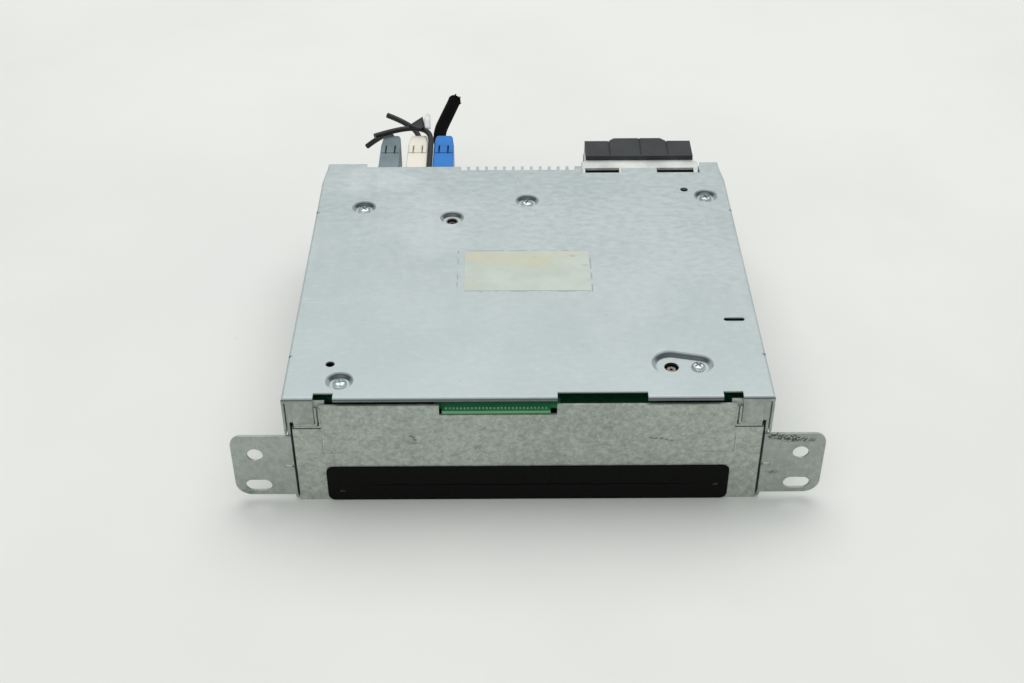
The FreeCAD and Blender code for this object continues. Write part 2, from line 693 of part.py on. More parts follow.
def ear():
    """Right mounting ear with its round hole over its slot."""
    outer = EAR_SPAN / 2
    plate = block((CHASSIS_HALF - CHASSIS_SHEET, outer), (0.0, CHASSIS_SHEET), (EAR_BOTTOM, EAR_TOP))
    top = edges_along(plate, Y_AXIS, lambda middle: middle.x > outer - 1 and middle.z > EAR_SLOT_Z * 2)
    plate = plate.makeFillet(EAR_UPPER_CORNER, top)
    low = edges_along(plate, Y_AXIS, lambda middle: middle.x > outer - 1 and middle.z < EAR_SLOT_Z * 2)
    plate = plate.makeFillet(EAR_LOWER_CORNER, low)
    hole_x = EAR_HOLE_SPACING / 2
    hole = rod(EAR_HOLE_RADIUS, vec(hole_x, -EXTRA, EAR_HOLE_Z), CHASSIS_SHEET + 2 * EXTRA, Y_AXIS)
    slot = long_hole(vec(hole_x, -EXTRA, EAR_SLOT_Z), EAR_SLOT_LENGTH, EAR_SLOT_WIDTH,
                     CHASSIS_SHEET + 2 * EXTRA, X_AXIS, Y_AXIS)
    relief = block((CHASSIS_HALF - CHASSIS_SHEET - EXTRA, CHASSIS_HALF + RELIEF_LENGTH),
                   (-EXTRA, CHASSIS_SHEET + EXTRA), (RELIEF_Z, RELIEF_Z + RELIEF_WIDTH))
    return plate.cut(join([hole, slot, relief]))


def chassis():
    """Lower pan: floor, side walls with ears folded outward, and a low rear wall."""
    half = CHASSIS_HALF
    front = CHASSIS_SHEET
    rear = CASE_DEPTH - SHEET - COVER_FIT
    taper_start = CASE_DEPTH - REAR_TAPER_LENGTH
    wall_top = COVER_UNDERSIDE - WALL_SEAM

    def outline(inset):
        side = half - inset
        back = rear - inset
        return [(-side, front), (side, front), (side, taper_start), (side - REAR_TAPER, back),
                (-side + REAR_TAPER, back), (-side, taper_start)]

    body = plan(outline(0.0), (0.0, wall_top))
    foot = [edge for edge in body.Edges if edge.BoundBox.ZMax < 0.01 and edge.CenterOfMass.y > front + 1]
    body = body.makeFillet(BEND_RADIUS, foot)
    hollow = plan(outline(CHASSIS_SHEET), (CHASSIS_SHEET, wall_top + EXTRA))
    opening = block((-half + CHASSIS_SHEET, half - CHASSIS_SHEET), (-EXTRA, front + 2 * EXTRA),
                    (CHASSIS_SHEET, wall_top + EXTRA))
    body = body.cut(hollow).cut(opening)
    for part in both_sides(ear()):
        body = body.fuse(part)
    lug_x = (SMALL_NOTCH_INNER_X + CORNER_LUG_INSET, half - CHASSIS_SHEET / 2)
    for part in both_sides(block(lug_x, (front, front + CHASSIS_SHEET), (TAB_BOTTOM, wall_top - EXTRA))):
        body = body.fuse(part)
    rear_cut = (rear - CHASSIS_SHEET - REAR_TAPER - EXTRA, rear + EXTRA)
    low_wall = block((-half + REAR_TAPER + CHASSIS_SHEET, half - REAR_TAPER - CHASSIS_SHEET), rear_cut,
                     (COVER_WALL_BOTTOM - WALL_SEAM, CASE_HEIGHT))
    header_x = (HEADER_CENTRE_X - HEADER_WIDTH / 2 - PLUG_FIT, HEADER_CENTRE_X + HEADER_WIDTH / 2 + PLUG_FIT)
    cuts = [low_wall, block(header_x, rear_cut, (HEADER_Z[0] - PLUG_FIT, CASE_HEIGHT))]
    cuts += jack_windows((JACK_Z - JACK_FLANGE_HEIGHT / 2 - PLUG_FIT, CASE_HEIGHT), rear_cut)
    dart_half = DART_WIDTH / 2 + COVER_FIT
    for y in DART_DEPTHS:
        cuts += both_sides(block((half - 2 * EXTRA, half + EXTRA), (y - dart_half, y + dart_half),
                                 (COVER_UNDERSIDE - DART_REACH - COVER_FIT, CASE_HEIGHT)))
    cuts += [screw_hole(x, y, -EXTRA, CHASSIS_SHEET + 2 * EXTRA) for x, y in foot_screws()]
    return body.cut(join(cuts)).removeSplitter()


def foot_screws():
    """Places of the screws that hold the mechanism's feet to the floor."""
    x = FRAME_HALF_WIDTH - FRAME_FOOT / 2
    return [(side * x, y) for side in (-1, 1) for y in FRAME_FOOT_DEPTHS]


def front_plate():
    """Front plate with its board notch, disc slot and two flanges along the side walls."""
    half = PLATE_WIDTH / 2
    upper = PLATE_UPPER_WIDTH / 2
    outline = [(-half, 0.0), (half, 0.0), (half, PLATE_SHOULDER), (upper, PLATE_SHOULDER), (upper, PLATE_TOP),
               (-upper, PLATE_TOP), (-upper, PLATE_SHOULDER), (-half, PLATE_SHOULDER)]
    face = upright(outline, (0.0, CHASSIS_SHEET))
    flanges = both_sides(block((half - CHASSIS_SHEET, half), (0.0, PLATE_FLANGE),
                               (CHASSIS_SHEET + WALL_SEAM, PLATE_SHOULDER)))
    slot = long_hole(vec(0, -EXTRA, SLOT_CENTRE_Z), SLOT_WIDTH, SLOT_HEIGHT, CHASSIS_SHEET + 2 * EXTRA,
                     X_AXIS, Y_AXIS)
    notch = block(BOARD_GAP_X, (-EXTRA, CHASSIS_SHEET + EXTRA), (BOARD_GAP_BOTTOM, PLATE_TOP + EXTRA))
    shape = join([face] + flanges).cut(slot.fuse(notch))
    bends = edges_along(shape, Z_AXIS, lambda middle: abs(middle.x) > half - 0.1 and middle.y < 0.1)
    return shape.makeFillet(CHASSIS_SHEET * ROUND_SHARE, bends)


def slot_felt():
    """Felt frame glued round the disc slot; its lips close the mouth."""
    half = FELT_WIDTH / 2
    pad = block((-half, half), (-FELT_THICKNESS, 0.0), (FELT_BOTTOM, FELT_BOTTOM + FELT_HEIGHT))
    pad = pad.makeFillet(FELT_CORNER, edges_along(pad, Y_AXIS, lambda middle: True))
    mouth = long_hole(vec(0, -FELT_THICKNESS - EXTRA, SLOT_CENTRE_Z), FELT_MOUTH_WIDTH, FELT_MOUTH_HEIGHT,
                      FELT_THICKNESS + 2 * EXTRA, X_AXIS, Y_AXIS)
    return pad.cut(mouth)


def blank_label():
    return block(LABEL_X, LABEL_DEPTH, (CASE_HEIGHT, CASE_HEIGHT + LABEL_THICKNESS))


def well_floor():
    return CASE_HEIGHT - WELL_DEPTH


def post_sites():
    return WELLS + (TEAR_SCREW,)


def cover_screws():
    return [screw(x, y, well_floor(), SCREW_LENGTH) for x, y in post_sites()]


def standoffs():
    """Hexagon posts on the mechanism's frame: the board rests on them, their spigots reach the wells."""
    top = well_floor() - SHEET
    radius = POST_ACROSS_FLATS / math.sqrt(3)
    posts = []
    for x, y in post_sites():
        post = peg(radius, vec(x, y, FRAME_TOP), BOARD_BOTTOM - FRAME_TOP, Z_AXIS, 6)
        spigot = peg(SPIGOT_RADIUS, vec(x, y, BOARD_BOTTOM), top - BOARD_BOTTOM)
        thread = peg(SCREW_SHANK_RADIUS, vec(x, y, top - SCREW_LENGTH), SCREW_LENGTH + EXTRA)
        posts.append(post.fuse(spigot).cut(thread))
    return posts


def locating_studs():
    """Bored brass studs on the board that show through the tear-shaped well and the middle well."""
    studs = []
    for x, y in (TEAR_STUD, STUD_WELL):
        low = BOARD_BOTTOM + BOARD_THICKNESS
        top = well_floor() - SHEET - COVER_FIT
        bore = rod(STUD_BORE_RADIUS, vec(x, y, top - STUD_BORE_DEPTH), STUD_BORE_DEPTH + EXTRA)
        studs.append(rod(STUD_RADIUS, vec(x, y, low), top - low).cut(bore))
    return studs


def case_screws():
    """Screws that hold the mechanism's feet to the chassis floor."""
    return [screw(x, y, CHASSIS_SHEET + FRAME_SHEET, FOOT_SCREW_LENGTH) for x, y in foot_screws()]


def main_board():
    """Circuit board under the cover, with the tongue that shows in the front notch."""
    half = CHASSIS_HALF - CHASSIS_SHEET - BOARD_SIDE_GAP
    top = (BOARD_BOTTOM, BOARD_BOTTOM + BOARD_THICKNESS)
    board = block((-half, half), BOARD_DEPTH, top)
    board = board.fuse(block(TONGUE_X, (TONGUE_SETBACK, BOARD_DEPTH[0] + EXTRA), top))
    header_x = (HEADER_CENTRE_X - HEADER_WIDTH / 2, HEADER_CENTRE_X + HEADER_WIDTH / 2)
    holes = [block(header_x, (HEADER_DEPTH[0], BOARD_DEPTH[1] + EXTRA), (top[0] - EXTRA, top[1] + EXTRA))]
    for x, y in post_sites():
        holes.append(peg(SPIGOT_RADIUS + SCREW_HOLE_CLEARANCE, vec(x, y, top[0] - EXTRA), 4 * EXTRA))
    return board.cut(join(holes)).removeSplitter()


def board_pads():
    top = BOARD_BOTTOM + BOARD_THICKNESS
    middle = (TONGUE_X[0] + TONGUE_X[1]) / 2
    first = middle - PAD_PITCH * (PAD_COUNT - 1) / 2
    low_y = TONGUE_SETBACK + PAD_SETBACK
    pads = []
    for index in range(PAD_COUNT):
        x = first + index * PAD_PITCH
        pads.append(block((x - PAD_SIZE[0] / 2, x + PAD_SIZE[0] / 2), (low_y, low_y + PAD_SIZE[1]),
                          (top, top + PAD_HEIGHT)))
    return pads


def board_chips():
    top = BOARD_BOTTOM + BOARD_THICKNESS
    return [block((x - w / 2, x + w / 2), (y - d / 2, y + d / 2), (top, top + h)) for x, y, w, d, h in CHIPS]


def board_capacitors():
    top = BOARD_BOTTOM + BOARD_THICKNESS
    cans = []
    for x, y in CAPACITORS:
        cans.append(peg(CAPACITOR_RADIUS, vec(x, y, top), CAPACITOR_HEIGHT, Z_AXIS, HEAD_SIDES))
    return cans


def main_header():
    """Natural-coloured connector shell on the board's rear edge, open to the rear."""
    x_range = (HEADER_CENTRE_X - HEADER_WIDTH / 2, HEADER_CENTRE_X + HEADER_WIDTH / 2)
    shell = block(x_range, HEADER_DEPTH, HEADER_Z)
    outer = edges_along(shell, Y_AXIS, lambda middle: True)
    shell = shell.makeFillet(HEADER_WALL * ROUND_SHARE, outer)
    hollow = block((x_range[0] + HEADER_WALL, x_range[1] - HEADER_WALL),
                   (HEADER_DEPTH[0] + HEADER_FLOOR, HEADER_DEPTH[1] + EXTRA),
                   (HEADER_Z[0] + HEADER_WALL, HEADER_Z[1] - HEADER_WALL))
    divider = block((HEADER_CENTRE_X - HEADER_WALL / 2, HEADER_CENTRE_X + HEADER_WALL / 2),
                    (HEADER_DEPTH[0], MAIN_PLUG_DEPTH[0] - MAIN_PLUG_NOSE - PLUG_FIT), HEADER_Z)
    return shell.cut(hollow).fuse(divider).removeSplitter()


def connector_pins():
    """Header blades in rows, and the centre pin of each antenna jack."""
    pins = []
    columns = int((HEADER_WIDTH - 4 * HEADER_WALL) / HEADER_PIN_PITCH / 2)
    half = HEADER_PIN_SIZE / 2
    rear = HEADER_DEPTH[0] + HEADER_FLOOR + HEADER_PIN_LENGTH
    for z in HEADER_PIN_ROWS:
        for column in range(columns):
            for side in (-1, 1):
                x = HEADER_CENTRE_X + side * (column + FIRST_PIN) * HEADER_PIN_PITCH
                pin_y = (HEADER_DEPTH[0] + EXTRA, rear)
                pins.append(block((x - half, x + half), pin_y, (z - half, z + half)))
    for x in JACK_X:
        pins.append(peg(JACK_PIN_RADIUS, vec(x, JACK_DEPTH[0] + EXTRA, JACK_Z), JACK_PIN_LENGTH, Y_AXIS))
    return pins


def jack_housings():
    """Antenna jacks: a square flange behind the rear wall and a round barrel through it."""
    jacks = []
    half = JACK_WIDTH / 2
    high = JACK_FLANGE_HEIGHT / 2
    for x in JACK_X:
        wall = CASE_DEPTH - SHEET - COVER_FIT
        body = block((x - half, x + half), (JACK_DEPTH[0], BOARD_DEPTH[1]), (JACK_Z - high, BOARD_BOTTOM))
        neck = block((x - half, x + half), (BOARD_DEPTH[1] - EXTRA, wall + JACK_FLANGE_THICKNESS * 2),
                     (JACK_Z - high, JACK_Z + high))
        barrel = peg(JACK_BARREL_RADIUS, vec(x, wall, JACK_Z), JACK_DEPTH[1] - wall, Y_AXIS, HEAD_SIDES)
        bore = peg(JACK_BARREL_BORE, vec(x, wall + EXTRA, JACK_Z), JACK_DEPTH[1] - wall, Y_AXIS, HEAD_SIDES)
        jacks.append(join([body, neck, barrel]).cut(bore))
    return jacks


def main_plug():
    """Wide black plug: a nose inside the header, a hood over it and a raised lock in the middle."""
    half = MAIN_PLUG_WIDTH / 2
    left, right = HEADER_CENTRE_X - half, HEADER_CENTRE_X + half
    front, rear = MAIN_PLUG_DEPTH
    hood = block((left, right), (HEADER_DEPTH[1] + PLUG_FIT, rear), (MAIN_PLUG_BOTTOM, MAIN_PLUG_TOP))
    over = block((left, right), (front, HEADER_DEPTH[1] + EXTRA), (HEADER_Z[1] + PLUG_FIT, MAIN_PLUG_TOP))
    under = block((left, right), (front, HEADER_DEPTH[1] + EXTRA), (MAIN_PLUG_BOTTOM, HEADER_Z[0] - PLUG_FIT))
    lock_half = MAIN_PLUG_LOCK_WIDTH / 2
    lock_rear = rear + MAIN_PLUG_LOCK_BEHIND
    chamfer = MAIN_PLUG_LOCK_BEHIND
    lock = plan([(HEADER_CENTRE_X - lock_half, rear - EXTRA), (HEADER_CENTRE_X + lock_half, rear - EXTRA),
                 (HEADER_CENTRE_X + lock_half, rear), (HEADER_CENTRE_X + lock_half - chamfer, lock_rear),
                 (HEADER_CENTRE_X - lock_half + chamfer, lock_rear), (HEADER_CENTRE_X - lock_half, rear)],
                (MAIN_PLUG_BOTTOM, MAIN_PLUG_TOP))
    inside = HEADER_WALL + PLUG_FIT
    nose_x = (HEADER_CENTRE_X - HEADER_WIDTH / 2 + inside, HEADER_CENTRE_X + HEADER_WIDTH / 2 - inside)
    nose = block(nose_x, (front - MAIN_PLUG_NOSE, HEADER_DEPTH[1] + EXTRA),
                 (HEADER_Z[0] + inside, HEADER_Z[1] - inside))
    body = join([hood, over, under, lock, nose])
    grooves = []
    for x in (HEADER_CENTRE_X - lock_half, HEADER_CENTRE_X + EXTRA, HEADER_CENTRE_X + lock_half):
        grooves.append(block((x - PLUG_FIT, x + PLUG_FIT), (front + EXTRA, lock_rear + EXTRA),
                             (MAIN_PLUG_TOP - PLUG_FIT, MAIN_PLUG_TOP + EXTRA)))
    cells = []
    half_pin = HEADER_PIN_SIZE / 2 + PLUG_FIT
    columns = int((HEADER_WIDTH - 4 * HEADER_WALL) / HEADER_PIN_PITCH / 2)
    reach = (front - MAIN_PLUG_NOSE - EXTRA, HEADER_DEPTH[1])
    for z in HEADER_PIN_ROWS:
        width = (columns - PIN_WAY_MARGIN) * HEADER_PIN_PITCH
        for side in (-1, 1):
            inner = HEADER_CENTRE_X + side * 0.5 * HEADER_PIN_PITCH
            outer = inner + side * width
            cells.append(block((min(inner, outer), max(inner, outer)), reach, (z - half_pin, z + half_pin)))
    return body.cut(join(grooves + cells)).removeSplitter()


def antenna_plug(x):
    """Keyed antenna plug: square body with a latch on top and a tapered cable end."""
    half = ANTENNA_PLUG_WIDTH / 2
    end = ANTENNA_PLUG_END_WIDTH / 2
    high = ANTENNA_PLUG_HEIGHT / 2
    front, rear = ANTENNA_PLUG_DEPTH
    taper = rear - ANTENNA_PLUG_TAPER
    outline = [(x - half, front), (x + half, front), (x + half, taper), (x + end + EXTRA, rear - EXTRA),
               (x + end, rear), (x - end, rear), (x - end - EXTRA, rear - EXTRA), (x - half, taper)]
    body = plan(outline, (JACK_Z - high, JACK_Z + high))
    body = body.makeFillet(EXTRA, edges_along(body, Y_AXIS, lambda middle: middle.z > JACK_Z))
    step = block((x - half - EXTRA, x + half + EXTRA), (front - EXTRA, ANTENNA_PLUG_STEP),
                 (JACK_Z + high - PLUG_FIT, JACK_Z + high + EXTRA))
    width, length, depth = LATCH_SLOT
    slots = []
    for slot_x in (x - LATCH_SLOT_SPREAD / 2, x + LATCH_SLOT_SPREAD / 2):
        slots.append(block((slot_x - width / 2, slot_x + width / 2),
                           (ANTENNA_PLUG_STEP - EXTRA / 2, ANTENNA_PLUG_STEP + length),
                           (JACK_Z + high - depth, JACK_Z + high + EXTRA)))
    socket = peg(JACK_BARREL_RADIUS + PLUG_FIT, vec(x, front - EXTRA, JACK_Z),
                 JACK_DEPTH[1] - front + 2 * EXTRA, Y_AXIS, HEAD_SIDES)
    return body.cut(join([step, socket] + slots)).removeSplitter()


def plug_end(x):
    return vec(x, ANTENNA_PLUG_DEPTH[1], JACK_Z)


def coax_grey():
    """Cut end that bends down and outward behind its plug."""
    return cable("coax_grey", plug_end(JACK_X[0]), GREY_RUN, COAX_DIAMETER)


def coax_cream():
    """Cut end that bends up and outward behind its plug."""
    return cable("coax_cream", plug_end(JACK_X[1]), CREAM_RUN, COAX_DIAMETER)


def coax_bundle():
    """Taped bundle that runs straight back from the third plug."""
    return cable("coax_bundle", plug_end(JACK_X[2]), BUNDLE_RUN, BUNDLE_DIAMETER)


def coax_side():
    """Loose end that lies in the groove between two plugs and turns across the other plugs' ends."""
    return cable("coax_side", plug_end(JACK_X[2]), SIDE_RUN, COAX_DIAMETER)


def tape_wrap():
    """Tape sleeve round the root of the bundle."""
    start = plug_end(JACK_X[2]) + Y_AXIS * PLUG_FIT
    sleeve = peg(BUNDLE_DIAMETER / 2 + TAPE_WALL, start, TAPE_LENGTH, Y_AXIS, CABLE_SIDES)
    return sleeve.cut(peg(BUNDLE_DIAMETER / 2, start - Y_AXIS, TAPE_LENGTH + 2 * EXTRA, Y_AXIS, CABLE_SIDES))


def wall_hole(centre, radius):
    """Hole through both side walls of the mechanism's frame."""
    return rod(radius, vec(-FRAME_HALF_WIDTH - EXTRA, *centre), 2 * (FRAME_HALF_WIDTH + EXTRA), X_AXIS)


def gear_centres():
    idler = beside(ROLLER_AXIS, ROLLER_TEETH, IDLER_TEETH, IDLER_ANGLE)
    reduction = beside(idler, IDLER_TEETH, SMALL_TEETH, REDUCTION_ANGLE)
    motor = beside(reduction, LARGE_TEETH, MOTOR_TEETH, MOTOR_ANGLE)
    return idler, reduction, motor


def motor_start():
    return GEAR_FACE[1] + SECOND_STAGE_SHIFT + MOTOR_GAP


def rack_pitch_line():
    return SLIDER_Z[1] + GEAR_MODULE * TOOTH_DROP


def mode_centre():
    return (MODE_DEPTH, rack_pitch_line() + GEAR_MODULE * MODE_TEETH / 2)


def mech_frame():
    """Folded steel frame over the disc path, with its feet on the chassis floor."""
    half = FRAME_HALF_WIDTH
    roof = block((-half, half), FRAME_DEPTH, (FRAME_TOP - FRAME_SHEET, FRAME_TOP))
    walls = both_sides(block((half - FRAME_SHEET, half), FRAME_DEPTH, (CHASSIS_SHEET, FRAME_TOP)))
    feet = []
    for y in FRAME_FOOT_DEPTHS:
        foot = block((half - FRAME_FOOT, half), (y - FRAME_FOOT_LENGTH / 2, y + FRAME_FOOT_LENGTH / 2),
                     (CHASSIS_SHEET, CHASSIS_SHEET + FRAME_SHEET))
        feet += both_sides(foot)
    motor_y, motor_z = gear_centres()[2]
    lug = block((motor_start() + MOTOR_LUG_INSET, motor_start() + MOTOR_LENGTH - MOTOR_LUG_INSET),
                (motor_y - MOTOR_LUG_HALF, motor_y + MOTOR_LUG_HALF), (motor_z + MOTOR_FLAT, FRAME_TOP))
    shape = join([roof] + walls + feet + [lug])
    window = block(FRAME_WINDOW_X, FRAME_WINDOW_DEPTH, (FRAME_TOP - 2 * FRAME_SHEET, FRAME_TOP + EXTRA))
    window = window.makeFillet(WINDOW_CORNER, edges_along(window, Z_AXIS, lambda middle: True))
    cuts = [window, wall_hole(ROLLER_AXIS, BUSH_RADIUS), wall_hole(PINCH_PIVOT, CLAMP_PIN_RADIUS + PIN_FIT)]
    arch_z = (CHASSIS_SHEET - EXTRA, CHASSIS_SHEET + ARCH_HEIGHT)
    gap_start = FRAME_FOOT_DEPTHS[0] + FRAME_FOOT_LENGTH / 2 + ARCH_GAP
    gap_end = FRAME_FOOT_DEPTHS[1] - FRAME_FOOT_LENGTH / 2 - ARCH_GAP
    cuts += both_sides(block((half - 2 * FRAME_SHEET, half + EXTRA), (gap_start, gap_end), arch_z))
    for x, y in foot_screws():
        cuts.append(peg(SCREW_SHANK_RADIUS, vec(x, y, 0), CHASSIS_SHEET + FRAME_SHEET + EXTRA))
    return shape.cut(join(cuts)).removeSplitter()


def disc_guide():
    """Fixed guide above the slot, sloped to lead the disc under the roller."""
    front, rear = GUIDE_DEPTH
    low = ROLLER_AXIS[1] - ROLLER_RADIUS + GUIDE_ABOVE
    top = low + GUIDE_HEIGHT
    half = FRAME_HALF_WIDTH - FRAME_SHEET
    outline = [(front, low + GUIDE_LEAD), (front + GUIDE_SLOPE, low + GUIDE_SLOPE), (rear, low), (rear, top),
               (front, top)]
    return sideways(outline, (-half, half))


def roller_bushes():
    inner = FRAME_HALF_WIDTH - FRAME_SHEET
    sleeve = rod(BUSH_RADIUS, vec(inner, *ROLLER_AXIS), BUSH_LENGTH, X_AXIS)
    bore = rod(SHAFT_RADIUS + PIN_FIT, vec(inner - EXTRA, *ROLLER_AXIS), BUSH_LENGTH + 2 * EXTRA, X_AXIS)
    return both_sides(sleeve.cut(bore))


def roller_shaft():
    reach = FRAME_HALF_WIDTH + SHAFT_OVERHANG
    return rod(SHAFT_RADIUS, vec(-reach, *ROLLER_AXIS), 2 * reach, X_AXIS)


def feed_roller():
    """Two rubber sleeves, each with a thick outer grip, so only the disc's rims are held."""
    start = ROLLER_GAP / 2
    waist = rod(ROLLER_WAIST, vec(start, *ROLLER_AXIS), ROLLER_LENGTH, X_AXIS)
    grip = rod(ROLLER_RADIUS, vec(start + ROLLER_LENGTH - GRIP_LENGTH, *ROLLER_AXIS), GRIP_LENGTH, X_AXIS)
    bore = rod(SHAFT_RADIUS, vec(start - EXTRA, *ROLLER_AXIS), ROLLER_LENGTH + 2 * EXTRA, X_AXIS)
    return both_sides(waist.fuse(grip).cut(bore))


def loading_gears():
    """The gear train from the loading motor to the roller, in mesh."""
    idler_at, reduction_at, motor_at = gear_centres()
    second = (GEAR_FACE[0] + SECOND_STAGE_SHIFT, GEAR_FACE[1] + SECOND_STAGE_SHIFT)
    bore = GEAR_PIN_RADIUS + PIN_FIT
    idler_phase = meshing_phase(ROLLER_TEETH, 0.0, math.radians(IDLER_ANGLE), IDLER_TEETH)
    small_phase = meshing_phase(IDLER_TEETH, idler_phase, math.radians(REDUCTION_ANGLE), SMALL_TEETH)
    motor_phase = meshing_phase(LARGE_TEETH, 0.0, math.radians(MOTOR_ANGLE), MOTOR_TEETH)
    roller = gear(ROLLER_TEETH, GEAR_FACE, ROLLER_AXIS, 0.0, SHAFT_RADIUS)
    idler = gear(IDLER_TEETH, GEAR_FACE, idler_at, idler_phase, bore)
    small = gear(SMALL_TEETH, (GEAR_FACE[0], second[0]), reduction_at, small_phase, bore)
    large = gear(LARGE_TEETH, second, reduction_at, 0.0, bore)
    pinion = gear(MOTOR_TEETH, second, motor_at, motor_phase)
    shaft = rod(MOTOR_SHAFT_RADIUS, vec(second[1], *motor_at), MOTOR_SHAFT_LENGTH, X_AXIS)
    return roller, idler, small.fuse(large).removeSplitter(), pinion.fuse(shaft)


def loading_motor():
    """Flat-sided motor can, bored for its shaft."""
    y, z = gear_centres()[2]
    start = motor_start()
    can = rod(MOTOR_RADIUS, vec(start, y, z), MOTOR_LENGTH, X_AXIS)
    keep = block((start, start + MOTOR_LENGTH), (y - MOTOR_RADIUS, y + MOTOR_RADIUS),
                 (z - MOTOR_FLAT, z + MOTOR_FLAT))
    bore = rod(MOTOR_SHAFT_RADIUS + PIN_FIT, vec(start - EXTRA, y, z), MOTOR_SHAFT_LENGTH + EXTRA, X_AXIS)
    return can.common(keep).cut(bore)


def pinch_plate():
    """Sprung plate that presses the disc up against the roller, on trunnions in the side walls."""
    front, rear = PINCH_DEPTH
    top, under = PINCH_TOP, PINCH_TOP - PINCH_THICKNESS
    along, down = PINCH_TAIL_CHAMFER
    ramp = front + PINCH_RAMP
    outline = [(front, top - PINCH_NOSE_DROP), (ramp, top), (rear - along, top), (rear, top - down),
               (rear, under), (ramp + PINCH_THICKNESS, under), (ramp, top - PINCH_KEEL),
               (front, top - PINCH_KEEL)]
    plate = sideways(outline, (-PINCH_HALF_WIDTH, PINCH_HALF_WIDTH))
    reach = FRAME_HALF_WIDTH + PINCH_BAR_OVERHANG
    bar = rod(CLAMP_PIN_RADIUS, vec(-reach, *PINCH_PIVOT), 2 * reach, X_AXIS)
    return plate.fuse(bar).removeSplitter()


def mode_slider():
    """Slider with a rack on its top edge and two guide slots."""
    z_low, z_high = SLIDER_Z
    outline = [(SLIDER_DEPTH[0], z_low), (SLIDER_DEPTH[1], z_low), (SLIDER_DEPTH[1], z_high)]
    pitch = math.pi * GEAR_MODULE
    tip = rack_pitch_line() + GEAR_MODULE * TOOTH_RISE
    half_pitch = pitch / 4 - GEAR_BACKLASH / 2
    half_tip, half_root = half_pitch * TIP_SHARE, half_pitch * ROOT_SHARE
    count = int((RACK_DEPTH[1] - RACK_DEPTH[0]) / pitch)
    for index in reversed(range(-count // 2, count // 2)):
        tooth_line = MODE_DEPTH + index * pitch + pitch / 2
        for offset, z in ((half_root, z_high), (half_tip, tip), (-half_tip, tip), (-half_root, z_high)):
            outline.append((tooth_line + offset, z))
    outline.append((SLIDER_DEPTH[0], z_high))
    bar = sideways(outline, SLIDER_X)
    slots = []
    for y in slider_studs():
        length = SLIDER_TRAVEL + 2 * (CLAMP_PIN_RADIUS + SLOT_END_ROOM)
        centre = vec(SLIDER_X[0] - EXTRA, y - SLIDER_TRAVEL / 2, slider_middle())
        slots.append(long_hole(centre, length, 2 * (CLAMP_PIN_RADIUS + PIN_FIT), 4 * EXTRA, Y_AXIS, X_AXIS))
    return bar.cut(join(slots))


def slider_studs():
    return (SLIDER_DEPTH[0] + SLIDER_STUD_INSETS[0], SLIDER_DEPTH[1] - SLIDER_STUD_INSETS[1])


def slider_middle():
    return (SLIDER_Z[0] + SLIDER_Z[1]) / 2


def mode_pinion():
    return gear(MODE_TEETH, SLIDER_X, mode_centre(), -math.pi / 2, GEAR_PIN_RADIUS + PIN_FIT)


def pivot_pins():
    """Steel pins riveted to the frame and the chassis floor, for gears, slider and levers."""
    inner = FRAME_HALF_WIDTH - FRAME_SHEET
    idler_at, reduction_at, _ = gear_centres()
    gear_end = GEAR_FACE[1] + PIN_PROUD
    mode_start = SLIDER_X[0] - PIN_PROUD
    stage_end = gear_end + SECOND_STAGE_SHIFT
    pins = [rod(GEAR_PIN_RADIUS, vec(-inner, *idler_at), gear_end + inner, X_AXIS),
            rod(GEAR_PIN_RADIUS, vec(-inner, *reduction_at), stage_end + inner, X_AXIS),
            rod(GEAR_PIN_RADIUS, vec(mode_start, *mode_centre()), inner - mode_start, X_AXIS)]
    for y in slider_studs():
        start = SLIDER_X[0] - SLIDER_STUD_PROUD
        stem = rod(CLAMP_PIN_RADIUS, vec(start, y, slider_middle()), inner - start, X_AXIS)
        head = peg(CLAMP_PIN_RADIUS + STUD_HEAD, vec(start, y, slider_middle()), STUD_HEAD, X_AXIS)
        pins.append(stem.fuse(head))
    roof = FRAME_TOP - FRAME_SHEET
    pins.append(rod(LEVER_PIN_RADIUS, vec(*EJECT_PIVOT, ARM_Z - PIN_PROUD), roof - ARM_Z + PIN_PROUD))
    for side in (-1, 1):
        x, y = side * LEVER_PIVOT[0], LEVER_PIVOT[1]
        top = LEVER_Z + LEVER_THICKNESS + 2 * PIN_PROUD
        stem = rod(LEVER_PIN_RADIUS, vec(x, y, CHASSIS_SHEET), top - CHASSIS_SHEET)
        collar = peg(LEVER_PIN_RADIUS + STUD_HEAD, vec(x, y, CHASSIS_SHEET),
                     LEVER_Z - SIDE_PLAY - CHASSIS_SHEET)
        pins.append(stem.fuse(collar))
    return pins


def swing_arm(pivot, finger, z_low, radii, finger_z):
    """Flat lever with a hub, a bore on its pivot and a post at its far end."""
    plate = Part.Face(hull_outline((pivot, finger), radii, z_low)).extrude(vec(0, 0, LEVER_THICKNESS))
    post = peg(radii[1], vec(*finger, finger_z[0]), finger_z[1] - finger_z[0])
    bore = rod(LEVER_PIN_RADIUS + PIN_FIT, vec(*pivot, z_low - EXTRA), LEVER_THICKNESS + 2 * EXTRA)
    return plate.fuse(post).cut(bore)


def eject_arm():
    return swing_arm(EJECT_PIVOT, EJECT_TIP, ARM_Z, EJECT_RADII, (ARM_Z, PLAY_FACE + SIDE_PLAY))


def disc_lever():
    """Right lever that the disc's edge pushes outward."""
    return swing_arm(LEVER_PIVOT, LEVER_FINGER, LEVER_Z, LEVER_RADII,
                     (LEVER_Z - LEVER_FINGER_DROP, LEVER_Z + LEVER_THICKNESS))


